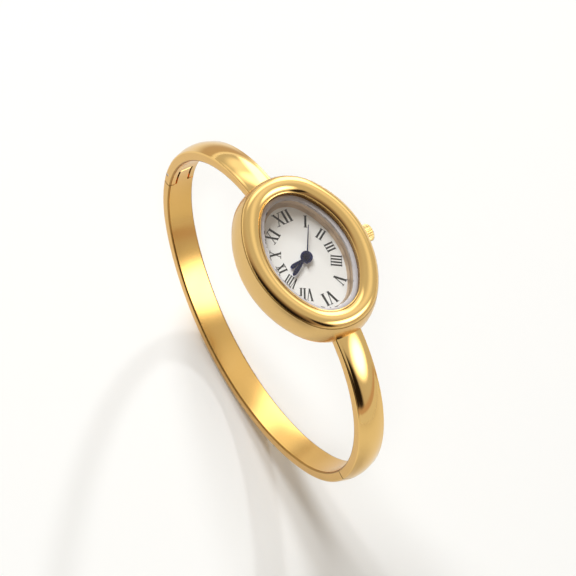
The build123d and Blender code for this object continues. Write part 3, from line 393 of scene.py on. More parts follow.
def gasket_profile():
    """Flat ring round the glass, with its top edges taken off."""
    top = GLASS_TOP_Z
    outer, inner = -FIT, -GLASS_INSET + FIT / 2
    return [
        (outer, GLASS_BOTTOM_Z),
        (outer, top - GASKET_EDGE),
        (outer - GASKET_EDGE, top - FIT),
        (inner + GASKET_EDGE, top - FIT),
        (inner, top - GASKET_EDGE),
        (inner, GLASS_BOTTOM_Z),
    ]


def glass_mesh():
    """The flat glass with its bevelled top edge."""
    rim = [
        (-GLASS_INSET, GLASS_BOTTOM_Z),
        (-GLASS_INSET, GLASS_TOP_Z - GLASS_BEVEL),
        (-GLASS_INSET - GLASS_BEVEL, GLASS_TOP_Z),
    ]
    return oval_points(rim), tube_faces(len(rim), len(OVAL))


def make_bezel(soft, bore):
    """The bezel, with shade painted as a darker gold in its bore and below its edge."""
    shape = oval_sweep(bezel_profile())
    bezel = add_mesh("domed_bezel", shape, soft, "case", ["bezel"], CASE_SHARP_ANGLE)
    lip_z, edge_z = (OPENING_EDGE_Z - BEZEL_INNER_ROUND) * MM, BEZEL_EDGE_Z * MM

    def shaded(face):
        z = face.center.z
        return z < edge_z or (z < lip_z and abs(face.normal.z) < BORE_TURN)

    second_material(bezel, bore, shaded)


def make_case_side(satin, bore):
    """The mid case, with the bezel's shadow painted as a darker gold on the narrow step below it."""
    shape = oval_sweep(mid_case_profile())
    side = add_mesh("case_side", shape, satin, "case", ["mid_case"], CASE_SHARP_ANGLE)
    step_z = (CASE_TOP_Z - MID_CASE_TOP_ROUND) * MM
    second_material(side, bore, lambda face: face.center.z > step_z)


def make_glass(materials):
    """The wall round the dial, the seal, and the glass, whose rim shows the seal."""
    shape = oval_sweep(rehaut_profile())
    add_mesh("dial_wall", shape, materials["wall"], "case", ["rehaut_ring"], CASE_SHARP_ANGLE)
    shape = oval_sweep(gasket_profile())
    add_mesh("glass_seal", shape, materials["gasket"], "case", ["crystal_gasket"])
    glass = add_mesh("flat_glass", glass_mesh(), materials["glass"], "case", ["crystal"])
    second_material(glass, materials["gasket"], lambda face: abs(face.normal.z) < GLASS_RIM_TURN)


# Crown


def crown_dome(start, radius):
    """Rows of the crown's domed end, from its rim at start to its middle."""
    dome_radius = (radius * radius + CROWN_DOME * CROWN_DOME) / (2 * CROWN_DOME)
    turn = math.asin(radius / dome_radius)
    rows = []
    for step in range(CROWN_DOME_STEPS + 1):
        angle = turn * (1 - step / CROWN_DOME_STEPS)
        x = start + CROWN_DOME - dome_radius * (1 - math.cos(angle))
        rows.append((x, max(CROWN_MIDDLE_RADIUS, dome_radius * math.sin(angle)), 0))
    return rows


def crown_rows():
    """Rows of (x, radius, share of the flutes' depth), from the recess over the barrel to the domed end."""
    x0, x1 = CROWN_START_X, CROWN_START_X + CROWN_LENGTH
    edge, root = CROWN_EDGE, CROWN_RADIUS - CROWN_FLUTE_DEPTH
    rows = [
        (x0 + CROWN_RECESS_DEPTH, CROWN_MIDDLE_RADIUS, 0),
        (x0 + CROWN_RECESS_DEPTH, CROWN_RECESS_RADIUS, 0),
        (x0, CROWN_RECESS_RADIUS, 0),
        (x0, root - edge, 0),
        (x0 + edge / 2, CROWN_RADIUS - edge / 2, CROWN_EDGE_DEPTH),
        (x0 + edge, CROWN_RADIUS, 1),
        (x1 - edge, CROWN_RADIUS, 1),
        (x1 - edge / 2, CROWN_RADIUS - edge / 2, CROWN_EDGE_DEPTH),
    ]
    return rows + crown_dome(x1, root - edge / 2)


def make_crown(gold):
    """Fluted barrel with rounded ribs, a domed end and a recess for the tube."""
    around = CROWN_FLUTES * CROWN_FLUTE_STEPS
    rows = crown_rows()
    points = []
    for x, radius, depth in rows:
        for index in range(around):
            turn = 2 * math.pi * index / around
            rib = abs(math.sin(CROWN_FLUTES * turn / 2))
            r = radius - depth * CROWN_FLUTE_DEPTH * (1 - rib)
            points.append((x, r * math.cos(turn), STEM_Z + r * math.sin(turn)))
    shape = points, tube_faces(len(rows), around)
    add_mesh("fluted_crown", shape, gold, "crown_and_stem", ["crown"])


# Bangle


def band_section():
    """Closed loop of (height, across): flat inside, rounded edges, domed outside."""
    half, inner, outer = BAND_HALF_WIDTH, BAND_INNER_ROUND, BAND_OUTER_ROUND
    dome_radius = (half * half + BAND_CROWN * BAND_CROWN) / (2 * BAND_CROWN)
    dome_centre = BAND_SIDE_HEIGHT + BAND_CROWN - dome_radius
    edge_turn = math.degrees(math.asin(half / dome_radius)) * (1 - outer / half)
    corner_height = dome_centre + (dome_radius - outer) * math.cos(math.radians(edge_turn))
    foot = arc((inner, half - inner), inner, 180, 90, BAND_ROUND_STEPS)
    corner = arc((corner_height, half - outer), outer, 90, edge_turn, BAND_ROUND_STEPS)
    dome = arc((dome_centre, 0), dome_radius, edge_turn, 0, BAND_DOME_STEPS)
    upper = foot + corner + dome[1:]
    lower = [(height, -across) for height, across in upper[::-1][1:]]
    return upper + lower


def ring_side_y():
    """Distance of the two side arcs' centres from the middle."""
    return RING_HALF_WIDTH - RING_SIDE_RADIUS


def ring_bottom_radius():
    """Radius of the bottom arc, which runs smoothly into both side arcs."""
    drop = RING_SIDE_Z - RING_BOTTOM_Z
    y, r = ring_side_y(), RING_SIDE_RADIUS
    return (r * r - y * y - drop * drop) / (2 * (r - drop))


def ring_join_angle():
    """Angle at which the side arc and the bottom arc meet."""
    centre_z = RING_BOTTOM_Z + ring_bottom_radius()
    return math.degrees(math.atan2(RING_SIDE_Z - centre_z, ring_side_y()))


def side_angle(z):
    """Angle on the side arc where the inner face has this height."""
    return math.degrees(math.asin((z - RING_SIDE_Z) / RING_SIDE_RADIUS))


def band_stations(centre_y, centre_z, radius, start, end):
    """Inner points and outward directions along one arc of the bangle."""
    count = max(2, round(abs(end - start) / STATION_ANGLE))
    stations = []
    for index in range(count + 1):
        angle = math.radians(start + (end - start) * index / count)
        y, z = math.cos(angle), math.sin(angle)
        stations.append((centre_y + radius * y, centre_z + radius * z, y, z))
    return stations


def side_stations(centre_y, start, end):
    """Stations along the side arc round this centre."""
    return band_stations(centre_y, RING_SIDE_Z, RING_SIDE_RADIUS, start, end)


def band_mesh(stations):
    """Points and faces of the band's section carried along stations, capped at both ends."""
    section = band_section()
    points = []
    for y, z, out_y, out_z in stations:
        points += [(across, y + height * out_y, z + height * out_z) for height, across in section]
    return points, tube_faces(len(stations), len(section))


def prism(outline, x0, x1):
    """A cutter: an outline of (y, z) carried along X."""
    points = [(x, y, z) for x in (x0, x1) for y, z in outline]
    return mesh_object("cutter", points, tube_faces(2, len(outline)))


def cut(piece, cutters):
    """Take each cutter away from the piece's mesh, and delete the cutters."""
    for cutter in cutters:
        step = piece.modifiers.new("cut", "BOOLEAN")
        step.operation = "DIFFERENCE"
        step.solver = "EXACT"
        step.object = cutter
    graph = bpy.context.evaluated_depsgraph_get()
    mesh = bpy.data.meshes.new_from_object(piece.evaluated_get(graph))
    piece.modifiers.clear()
    piece.data = mesh
    for cutter in cutters:
        bpy.data.objects.remove(cutter)


def outline_at_pin(radius, end, far_z):
    """A cutter's outline: from the left round the pin by an arc up to this angle, and out to far_z."""
    reach = KNUCKLE_RADIUS + OVERRUN
    left, right = PIN_Y - reach, PIN_Y + reach
    path = arc((PIN_Y, HINGE_Z), radius, 180, end, KNUCKLE_STEPS)
    return [(left, HINGE_Z)] + path + [(right, HINGE_Z), (right, far_z), (left, far_z)]


def pin_hole():
    """What comes out of the ears and the knuckle for the hinge pin."""
    wide = BAND_HALF_WIDTH + OVERRUN
    return prism(circle((PIN_Y, HINGE_Z), PIN_RADIUS + FIT, PIN_STEPS), -wide, wide)


def ear_cutters():
    """What comes off the upper arm: below the rounded ears, the knuckle's notch, the pin's hole."""
    bottom = HINGE_Z - 2 * EAR_RADIUS - OVERRUN
    wide, notch = BAND_HALF_WIDTH + OVERRUN, KNUCKLE_WIDTH / 2 + KNUCKLE_GAP
    below = outline_at_pin(EAR_RADIUS, 360, bottom)
    opening = outline_at_pin(KNUCKLE_RADIUS + EAR_GAP, 0, bottom)
    return [prism(below, -wide, wide), prism(opening, -notch, notch), pin_hole()]


def knuckle_cutters():
    """What comes off the lower half: round the knuckle, the ears' shoulders, the pin's hole."""
    top = HINGE_Z + 2 * KNUCKLE_RADIUS + OVERRUN
    wide, half = BAND_HALF_WIDTH + OVERRUN, KNUCKLE_WIDTH / 2
    above = outline_at_pin(KNUCKLE_RADIUS, 0, top)
    shoulder = outline_at_pin(EAR_RADIUS + EAR_GAP, 360, top)
    return [
        prism(above, -half - FIT, half + FIT),
        prism(shoulder, half, wide),
        prism(shoulder, -wide, -half),
        pin_hole(),
    ]


def socket_cutter():
    """What comes out of the lower arm for the clasp's tongue."""
    inner, outer = SOCKET_INNER_Y, SOCKET_OUTER_Y
    bottom, top = CLASP_Z - OVERRUN, CLASP_Z + SOCKET_LENGTH
    outline = [(inner, bottom), (outer, bottom), (outer, top), (inner, top)]
    return prism(outline, -SOCKET_HALF_WIDTH, SOCKET_HALF_WIDTH)


def brush_inside(piece, brushed, edge):
    """Brush the band's inside and flat sides, and paint shade on the rounded edge between them as a dark
    brown gold.
    """
    piece.data.materials.append(brushed)
    piece.data.materials.append(edge)
    middle = Vector((0, 0, RING_SIDE_Z * MM))
    for face in piece.data.polygons:
        inwards = middle - face.center
        inwards.x = 0
        turned_in = face.normal.dot(inwards.normalized())
        sideways = abs(face.normal.x)
        # the rounded edge gets the painted shade, the inside and flat sides the brushed gold
        if turned_in > EDGE_TURN and EDGE_TURN < sideways < SIDE_TURN:
            face.material_index = 2
        elif turned_in > INSIDE_TURN or sideways > SIDE_TURN:
            face.material_index = 1


def band_piece(name, stations, cutters, materials, body, node):
    """One piece of the bangle: the band along its stations, less its cutters, with its finishes."""
    piece = add_mesh(name, band_mesh(stations), materials["gold"], body, [node])
    cut(piece, cutters)
    piece.data.set_sharp_from_angle(angle=math.radians(SHARP_ANGLE))
    brush_inside(piece, materials["brushed"], materials["edge"])


def make_arms(materials):
    """The two short arms that are fixed to the case."""
    side_y = ring_side_y()
    start = side_angle(HINGE_Z - EAR_RADIUS - OVERRUN)
    stations = side_stations(side_y, start, ARM_START_ANGLE)
    band_piece("arm_at_twelve", stations, ear_cutters(), materials, "case", "upper_arm")
    start = side_angle(CLASP_Z + CLASP_GAP)
    stations = side_stations(-side_y, 180 - start, 180 - ARM_START_ANGLE)
    band_piece("arm_at_six", stations, [socket_cutter()], materials, "case", "lower_arm")


def make_lower_half(materials):
    """The long lower half, from the hinge's knuckle round the bottom to the clasp."""
    side_y, join, radius = ring_side_y(), ring_join_angle(), ring_bottom_radius()
    top = side_angle(HINGE_Z + KNUCKLE_RADIUS + OVERRUN)
    clasp = side_angle(CLASP_Z)
    stations = side_stations(side_y, top, join)
    stations += band_stations(0, RING_BOTTOM_Z + radius, radius, join, -180 - join)[1:]
    stations += side_stations(-side_y, -180 - join, -180 - clasp)[1:]
    band_piece("bangle_lower_half", stations, knuckle_cutters(), materials, "lower_half", "lower_band")


# Hands


def blade_half_width(share):
    """Half the width of a leaf blade at this share of its length."""
    if share < HAND_BELLY_SHARE:
        t = share / HAND_BELLY_SHARE
        smooth = t * t * (3 - 2 * t)
        return HAND_BLADE_HALF * (HAND_NECK_SHARE + (1 - HAND_NECK_SHARE) * smooth)
    t = (share - HAND_BELLY_SHARE) / (1 - HAND_BELLY_SHARE)
    return HAND_BLADE_HALF * math.sqrt(max(0.0, 1 - t * t))


def turned(points, degrees):
    """Points turned clockwise, as seen from above the dial."""
    c, s = math.cos(math.radians(degrees)), math.sin(math.radians(degrees))
    return [(x * c + y * s, y * c - x * s, z) for x, y, z in points]


def hub(radius, bottom, top):
    """A round hub with a bevelled top edge."""
    points = []
    for r, z in ((radius, bottom), (radius, top - HAND_HUB_BEVEL), (radius - HAND_HUB_BEVEL, top)):
        points += [(x, y, z) for x, y in circle((0, 0), r, HAND_HUB_STEPS)]
    return points, tube_faces(3, HAND_HUB_STEPS)


def blade(stations, bottom, ridge):
    """A blade through stations of (distance, half width), with a ridge of this height along its middle."""
    top = bottom + HAND_THICKNESS
    edge = top - ridge
    points = []
    for y, half in stations:
        points += [(-half, y, bottom), (-half, y, edge), (0, y, top), (half, y, edge), (half, y, bottom)]
    return points, tube_faces(len(stations), 5)


def leaf_hand(length, bottom):
    """A hub and a leaf-shaped blade from inside it to a rounded tip."""
    root = HAND_HUB_RADIUS / 2
    stations = []
    for step in range(HAND_BLADE_STEPS + 1):
        share = step / HAND_BLADE_STEPS
        stations.append((root + (length - root) * share, max(HAND_TIP_HALF, blade_half_width(share))))
    middle = hub(HAND_HUB_RADIUS, bottom, bottom + HAND_THICKNESS)
    return joined([middle, blade(stations, bottom, HAND_RIDGE)])


def needle_hand():
    """A hub and a plain tapered blade with a tail."""
    half, bottom = SECONDS_HAND_WIDTH / 2, SECONDS_HAND_Z
    stations = [(-SECONDS_TAIL, half), (0, half), (SECONDS_HAND_LENGTH, half * SECONDS_TIP_SHARE)]
    middle = hub(SECONDS_HUB_RADIUS, bottom, bottom + SECONDS_CAP_TOP)
    return joined([middle, blade(stations, bottom, SECONDS_HAND_RIDGE)])


def make_hands(materials):
    """The three hands, turned to the time that they show."""
    hour = leaf_hand(HOUR_HAND_LENGTH, HOUR_HAND_Z)
    minute = leaf_hand(MINUTE_HAND_LENGTH, MINUTE_HAND_Z)
    second = needle_hand()
    hands = [
        ("hour_leaf", hour, SHOWN_HOUR * HOUR_ANGLE, "blue", "hours", "hour_hand"),
        ("minute_leaf", minute, SHOWN_HOUR % 1 * 360, "blue", "minutes", "minute_hand"),
        ("seconds_needle", second, SHOWN_SECOND * SECOND_ANGLE, "dark_blue", "seconds", "seconds_hand"),
    ]
    for name, (points, faces), turn, finish, body, node in hands:
        shape = turned(points, turn), faces
        add_mesh(name, shape, materials[finish], body, [node])


# Numerals


def bar(x0, y0, x1, y1, width):
    """A slanted stroke with level ends, as four corners."""
    half = width / 2
    return [(x0 - half, y0), (x0 + half, y0), (x1 + half, y1), (x1 - half, y1)]


def serif(x, end, reach):
    """A level bar across the end of a stroke, inside the letter's height."""
    inner = end + NUMERAL_SERIF if end < 0 else end - NUMERAL_SERIF
    low, high = min(end, inner), max(end, inner)
    return [(x - reach, low), (x + reach, low), (x + reach, high), (x - reach, high)]


def letter_strokes(letter, x, height):
    """Strokes of one letter from its left edge x, and its width."""
    thick, thin = NUMERAL_THICK, NUMERAL_THIN
    low, high = -height / 2, height / 2
    reach = thick * SERIF_SHARE
    if letter == "I":
        middle = x + reach
        strokes = [bar(middle, low, middle, high, thick)]
        strokes += [serif(middle, end, reach) for end in (low, high)]
        return strokes, 2 * reach
    width = height * LETTER_WIDTH_SHARE
    left, right = x + reach * LETTER_LEFT_SHARE, x + width - reach * LETTER_RIGHT_SHARE
    if letter == "V":
        middle = (left + right) / 2 + thin
        strokes = [bar(left, high, middle, low, thick), bar(right, high, middle, low, thin)]
        strokes += [serif(left, high, reach), serif(right, high, reach * SHORT_SERIF_SHARE)]
    else:
        strokes = [bar(left, high, right, low, thick), bar(right, high, left, low, thin)]
        strokes += [serif(middle, end, reach) for end in (low, high) for middle in (left, right)]
    return strokes, width


def numeral_strokes(word, height):
    """Strokes of a whole numeral, centred, and its width."""
    gap = NUMERAL_THIN
    strokes, x = [], 0.0
    for letter in word:
        more, width = letter_strokes(letter, x, height)
        strokes += more
        x += width + gap
    shift = (x - gap) / 2
    return [[(px - shift, py) for px, py in stroke] for stroke in strokes], 2 * shift


def between(side, end, share):
    """A value between the one at the dial's sides and the one at its ends."""
    return side + share * (end - side)


def make_numerals(ink):
    """Twelve roman numerals set radially, tops outwards, as raised print on the dial."""
    words = ["XII", "I", "II", "III", "IIII", "V", "VI", "VII", "VIII", "IX", "X", "XI"]
    shapes = []
    for hour, word in enumerate(words):
        turn = math.radians(hour * HOUR_ANGLE)
        out_x, out_y = math.sin(turn), math.cos(turn)
        reach = 1 / math.hypot(out_x / NUMERAL_HALF_WIDTH, out_y / NUMERAL_HALF_LENGTH)
        share = abs(out_y)
        strokes, width = numeral_strokes(word, between(NUMERAL_SIDE_HEIGHT, NUMERAL_END_HEIGHT, share))
        widest = between(NUMERAL_SIDE_WIDEST, NUMERAL_END_WIDEST, share**NUMERAL_WIDEST_POWER)
        squeeze = min(between(NUMERAL_SIDE_SQUEEZE, NUMERAL_END_SQUEEZE, share), widest / width)
        for stroke in strokes:
            corners = []
            for x, y in stroke:
                along, outwards = x * squeeze, reach + y
                corners.append((along * out_y + outwards * out_x, outwards * out_y - along * out_x))
            levels = (DIAL_TOP_Z, DIAL_TOP_Z + NUMERAL_RAISE)
            shapes.append(([(x, y, z) for z in levels for x, y in corners], tube_faces(2, 4)))
    add_mesh("hour_numerals", joined(shapes), ink, "case")


# Materials

# Metals: name, two tones, roughness and its spread, and for some the strength of the fine marks, their
# number per metre, and how many times finer they are along X, Y and Z
FINE_X = (8, 1, 1)
METALS = {
    "gold": ("polished_gold", (0.94, 0.62, 0.225), (0.92, 0.595, 0.205), 0.06, 0.03),
    "soft": ("soft_polished_gold", (0.94, 0.62, 0.225), (0.92, 0.595, 0.205), 0.11, 0.03),
    "satin": ("satin_gold", (0.86, 0.57, 0.235), (0.82, 0.54, 0.205), 0.2, 0.08, 0.1, 5000.0, (1, 1, 6)),
    "crown": ("crown_gold", (0.80, 0.60, 0.26), (0.72, 0.53, 0.22), 0.24, 0.08),
    "brushed": ("brushed_gold", (0.83, 0.51, 0.165), (0.77, 0.455, 0.13), 0.14, 0.08, 0.12, 5000.0, FINE_X),
    # edge: dark brown gold that paints shade along the band's rounded edges between its inside and its flat
    # sides
    "edge": ("gold_painted_edge_shade", (0.46, 0.25, 0.07), (0.38, 0.20, 0.05), 0.2, 0.08),
    # bore: darker gold that paints shade in the bezel's bore, below its edge and on the case's step under it
    "bore": ("gold_painted_shade", (0.52, 0.31, 0.10), (0.34, 0.19, 0.05), 0.22, 0.1),
    # wall: matt tan gold, its darker tone partly the wall's own and partly painted shade from the bezel
    "wall": ("matt_gold", (0.76, 0.58, 0.41), (0.68, 0.51, 0.35), 0.38, 0.1),
    "steel": ("satin_steel", (0.62, 0.62, 0.63), (0.55, 0.55, 0.57), 0.24, 0.12, 0.2, 6000.0, FINE_X),
    "bright": ("bright_steel", (0.74, 0.74, 0.76), (0.68, 0.68, 0.70), 0.12, 0.08),
    "blue": ("blued_steel", (0.045, 0.065, 0.38), (0.035, 0.05, 0.30), 0.24, 0.08),
    "dark_blue": ("dark_blued_steel", (0.05, 0.06, 0.25), (0.04, 0.05, 0.20), 0.26, 0.08),
    "brass": ("plain_brass", (0.80, 0.60, 0.30), (0.74, 0.54, 0.26), 0.26, 0.1, 0.15, 7000.0),
    "iron": ("soft_iron", (0.42, 0.42, 0.44), (0.34, 0.34, 0.36), 0.38, 0.14, 0.2),
    "copper": ("copper_winding", (0.76, 0.30, 0.12), (0.62, 0.22, 0.08), 0.3, 0.1, 0.5, 9000.0, (14, 1, 1)),
}

# Plastics: name, two tones, roughness and the number of the fine marks per metre
PLASTICS = {
    "rubber": ("seal_rubber", (0.03, 0.03, 0.03), (0.015, 0.015, 0.015), 0.6, 1800.0),
    "gasket": ("grey_gasket", (0.60, 0.57, 0.58), (0.52, 0.49, 0.50), 0.22, 900.0),
    "holder": ("white_plastic", (0.82, 0.82, 0.80), (0.74, 0.74, 0.72), 0.4, 1800.0),
    "board": ("green_board", (0.05, 0.24, 0.10), (0.03, 0.17, 0.06), 0.35, 1800.0),
}

# The two tones of other materials
DIAL_TONES = ((0.975, 0.96, 0.92), (0.94, 0.92, 0.88))
INK_TONES = ((0.03, 0.028, 0.026), (0.012, 0.011, 0.010))
WHITE = (1, 1, 1)

# Noise in features per metre, but for the dial's rays, which are counted per radian
WIDE_NOISE = 260.0
FINE_NOISE = 2500.0
INK_NOISE = 9000.0
GLASS_NOISE = 500.0
DIAL_RAYS = 60.0
NOISE_DETAIL = 3.0
FINE_DETAIL = 4.0
RAY_DETAIL = 5.0

# The middle part of a noise's range, which changes the roughness
NOISE_LOW = 0.3
NOISE_HIGH = 0.7

# Roughness, its spread and other values of single materials
PLASTIC_SPREAD = 0.12
PLASTIC_MARKS = 0.15
MARK_DEPTH = 0.02
DIAL_ROUGHNESS = 0.34
DIAL_SPREAD = 0.12
DIAL_METALLIC = 0.1
INK_ROUGHNESS = 0.42
INK_SPREAD = 0.13
GLASS_SPREAD = 0.012
GLASS_IOR = 1.5

# CAD nodes that show as they are, by their material
NODE_MATERIALS = {
    "steel": "case_back crown_tube hinge_pin clasp_tongue tongue_rivet arm_dowels bridge_screws board_screws "
    "setting_stem setting_lever yoke sliding_pinion battery_clip intermediate_pinion seconds_pinion "
    "third_pinion dial_washer",
    "bright": "battery quartz_crystal",
    "rubber": "back_gasket crown_gasket",
    "holder": "movement_holder",
    "board": "circuit_board",
    "copper": "coil",
    "iron": "stator coil_core rotor",
    "brass": "main_plate train_bridge intermediate_wheel seconds_wheel third_wheel centre_wheel "
    "cannon_pinion minute_wheel minute_pinion hour_wheel",
    "dial": "dial",
}


def new_material(name):
    """A material, its node tree and its shader."""
    material = bpy.data.materials.new(name)
    material.use_nodes = True
    tree = material.node_tree
    tree.nodes.clear()
    output = tree.nodes.new("ShaderNodeOutputMaterial")
    shader = tree.nodes.new("ShaderNodeBsdfPrincipled")
    tree.links.new(shader.outputs[0], output.inputs[0])
    return material, tree, shader


def add_node(tree, kind, **values):
    """A node with some of its inputs set."""
    node = tree.nodes.new(kind)
    for name, value in values.items():
        node.inputs[name].default_value = value
    return node


def calculated(tree, operation, first, second, clamp=False):
    """What a Math node makes of two outputs."""
    node = tree.nodes.new("ShaderNodeMath")
    node.operation = operation
    node.use_clamp = clamp
    tree.links.new(first, node.inputs[0])
    tree.links.new(second, node.inputs[1])
    return node.outputs[0]


def map_range(tree, source, low, high):
    """The middle part of a noise's range, spread from low to high."""
    node = add_node(tree, "ShaderNodeMapRange", **{"To Min": low, "To Max": high})
    node.inputs["From Min"].default_value = NOISE_LOW
    node.inputs["From Max"].default_value = NOISE_HIGH
    tree.links.new(source, node.inputs["Value"])
    return node.outputs[0]


def mixed(tree, factor, first, second):
    """A mix of two colours, each of them three numbers or an output."""
    node = tree.nodes.new("ShaderNodeMix")
    node.data_type = "RGBA"
    for name, colour in (("A", first), ("B", second)):
        if isinstance(colour, tuple):
            node.inputs[name].default_value = (*colour, 1)
        else:
            tree.links.new(colour, node.inputs[name])
    tree.links.new(factor, node.inputs["Factor"])
    return node.outputs["Result"]


def mixed_shaders(tree, factor, first, second):
    """A mix of two shaders."""
    node = tree.nodes.new("ShaderNodeMixShader")
    for source, socket in zip((factor, first, second), node.inputs):
        tree.links.new(source, socket)
    return node.outputs[0]


def noise_at(tree, scale, detail=NOISE_DETAIL, stretch=(1, 1, 1)):
    """A noise over the object's own coordinates; scale is in features per metre."""
    coords = tree.nodes.new("ShaderNodeTexCoord")
    mapping = add_node(tree, "ShaderNodeMapping", Scale=stretch)
    tree.links.new(coords.outputs["Object"], mapping.inputs["Vector"])
    noise = add_node(tree, "ShaderNodeTexNoise", Scale=scale, Detail=detail)
    tree.links.new(mapping.outputs[0], noise.inputs["Vector"])
    return noise.outputs["Fac"]


def set_tones(tree, shader, noise, colour, shade):
    """Let a noise change the colour."""
    tree.links.new(mixed(tree, noise, shade, colour), shader.inputs["Base Color"])


def set_roughness(tree, shader, noise, rough, spread):
    """Let a noise change the roughness."""
    tree.links.new(map_range(tree, noise, rough, rough + spread), shader.inputs["Roughness"])


def set_marks(tree, shader, noise, strength):
    """Let a noise mark the surface."""
    bump = add_node(tree, "ShaderNodeBump", Strength=strength, Distance=MARK_DEPTH * MM)
    tree.links.new(noise, bump.inputs["Height"])
    tree.links.new(bump.outputs[0], shader.inputs["Normal"])


def metal(name, colour, shade, rough, spread, marks=0.0, scale=FINE_NOISE, stretch=(1, 1, 1)):
    """A metal with slight changes of tone and gloss, and fine marks where they are asked for."""
    material, tree, shader = new_material(name)
    shader.inputs["Metallic"].default_value = 1.0
    wide = noise_at(tree, WIDE_NOISE)
    fine = noise_at(tree, scale, FINE_DETAIL, stretch)
    set_tones(tree, shader, wide, colour, shade)
    set_roughness(tree, shader, fine, rough, spread)
    if marks:
        set_marks(tree, shader, fine, marks)
    return material


def plastic(name, colour, shade, rough, scale):
    """A moulded or laminated surface with a fine grain."""
    material, tree, shader = new_material(name)
    fine = noise_at(tree, scale, FINE_DETAIL)
    set_tones(tree, shader, fine, colour, shade)
    set_roughness(tree, shader, fine, rough, PLASTIC_SPREAD)
    set_marks(tree, shader, fine, PLASTIC_MARKS)
    return material


def dial_material():
    """Silvered dial: rays of slightly different gloss and tone from the middle."""
    material, tree, shader = new_material("silvered_dial")
    coords = tree.nodes.new("ShaderNodeTexCoord")
    split = tree.nodes.new("ShaderNodeSeparateXYZ")
    tree.links.new(coords.outputs["Object"], split.inputs[0])
    rays = add_node(tree, "ShaderNodeTexNoise", Scale=DIAL_RAYS, Detail=RAY_DETAIL)
    rays.noise_dimensions = "1D"
    angle = calculated(tree, "ARCTAN2", split.outputs["Y"], split.outputs["X"])
    tree.links.new(angle, rays.inputs["W"])
    set_tones(tree, shader, rays.outputs["Fac"], *DIAL_TONES)
    set_roughness(tree, shader, rays.outputs["Fac"], DIAL_ROUGHNESS, DIAL_SPREAD)
    shader.inputs["Metallic"].default_value = DIAL_METALLIC
    return material


def ink_material():
    """Matt black print."""
    material, tree, shader = new_material("black_print")
    fine = noise_at(tree, INK_NOISE)
    set_tones(tree, shader, fine, *INK_TONES)
    set_roughness(tree, shader, fine, INK_ROUGHNESS, INK_SPREAD)
    return material


def glass_material():
    """Clear glass that lets light through to the dial."""
    material, tree, shader = new_material("clear_glass")
    shader.inputs["Base Color"].default_value = (*WHITE, 1)
    shader.inputs["Transmission Weight"].default_value = 1.0
    shader.inputs["IOR"].default_value = GLASS_IOR
    set_roughness(tree, shader, noise_at(tree, GLASS_NOISE), 0.0, GLASS_SPREAD)
    path = tree.nodes.new("ShaderNodeLightPath")
    clear = tree.nodes.new("ShaderNodeBsdfTransparent")
    unseen = calculated(tree, "MAXIMUM", path.outputs["Is Shadow Ray"], path.outputs["Is Diffuse Ray"])
    seen = mixed_shaders(tree, unseen, shader.outputs[0], clear.outputs[0])
    tree.links.new(seen, tree.nodes["Material Output"].inputs[0])
    return material


def make_materials():
    """All materials by their keys."""
    materials = {key: metal(*values) for key, values in METALS.items()}
    materials.update({key: plastic(*values) for key, values in PLASTICS.items()})
    materials.update(glass=glass_material(), dial=dial_material(), ink=ink_material())
    return materials


def dress_nodes(materials):
    """Give every CAD node that still shows its material."""
    for key, names in NODE_MATERIALS.items():
        for name in names.split():
            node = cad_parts[name]
            for place in node.material_slots:
                place.material = materials[key]


# Camera

# Angles in degrees, with the azimuth counted from -Y towards +X; the shifts move the camera left and down
CAMERA_AZIMUTH = -61.567
CAMERA_ELEVATION = 62.625
CAMERA_ROLL = 33.799
CAMERA_SHIFT_X = 1.939
CAMERA_SHIFT_Y = 3.443
CAMERA_DISTANCE = 401.351
CAMERA_HEIGHT = 0.33
CAMERA_LENS = 156.25
CAMERA_SENSOR = 36.0
CAMERA_CLIP_START = 10.0
CAMERA_CLIP_END = 10000.0


def direction(azimuth, elevation):
    """The unit vector at these angles in degrees, azimuth counted from +X towards +Y."""
    around, rise = math.radians(azimuth), math.radians(elevation)
    return Vector((math.cos(around) * math.cos(rise), math.sin(around) * math.cos(rise), math.sin(rise)))


def make_camera():
    """The camera at the photograph's viewing angle."""
    roll = math.radians(CAMERA_ROLL)
    back = direction(CAMERA_AZIMUTH - 90, CAMERA_ELEVATION)
    level = direction(CAMERA_AZIMUTH, 0)
    upright = back.cross(level)
    right = math.cos(roll) * level + math.sin(roll) * upright
    up = math.cos(roll) * upright - math.sin(roll) * level
    place = CAMERA_DISTANCE * back - CAMERA_SHIFT_X * right - CAMERA_SHIFT_Y * up
    place.z += CAMERA_HEIGHT
    data = bpy.data.cameras.new("camera")
    data.lens = CAMERA_LENS
    data.sensor_width = CAMERA_SENSOR
    data.clip_end = CAMERA_CLIP_END * MM
    data.clip_start = CAMERA_CLIP_START * MM
    camera = bpy.data.objects.new("camera", data)
    turn = Matrix((right, up, back)).transposed().to_4x4()
    camera.matrix_world = Matrix.Translation(place * MM) @ turn
    bpy.context.scene.collection.objects.link(camera)
    bpy.context.scene.camera = camera


# Floor

FLOOR_HALF_SIZE = 500.0
FLOOR_ROUGHNESS = 0.9
FLOOR_COLOUR = (0.97, 0.97, 0.96)
FLOOR_IN_METAL = (0.83, 0.83, 0.82)

# Soft ovals on the floor that only polished metal sees: middle X and Y, half length and half width, turn in
# degrees, softness of the edge, and colour
FLOOR_ZONES = [
    (50, 190, 100, 100, 0, 0.25, (0.52, 0.44, 0.38)),
    (-330, -210, 230, 110, 213, 0.3, (0.11, 0.08, 0.06)),
]


def local_reach(tree, source, place, size, soft, rotation):
    """1 inside an oval zone round place and 0 outside it, with a soft edge."""
    local = add_node(tree, "ShaderNodeMapping", Location=place, Rotation=rotation, Scale=size)
    local.vector_type = "TEXTURE"
    tree.links.new(source, local.inputs["Vector"])
    reach = tree.nodes.new("ShaderNodeVectorMath")
    reach.operation = "LENGTH"
    tree.links.new(local.outputs[0], reach.inputs[0])
    edge = add_node(tree, "ShaderNodeMapRange", **{"From Min": 1 + soft, "From Max": 1 - soft})
    edge.interpolation_type = "SMOOTHSTEP"
    tree.links.new(reach.outputs["Value"], edge.inputs["Value"])
    return edge.outputs[0]


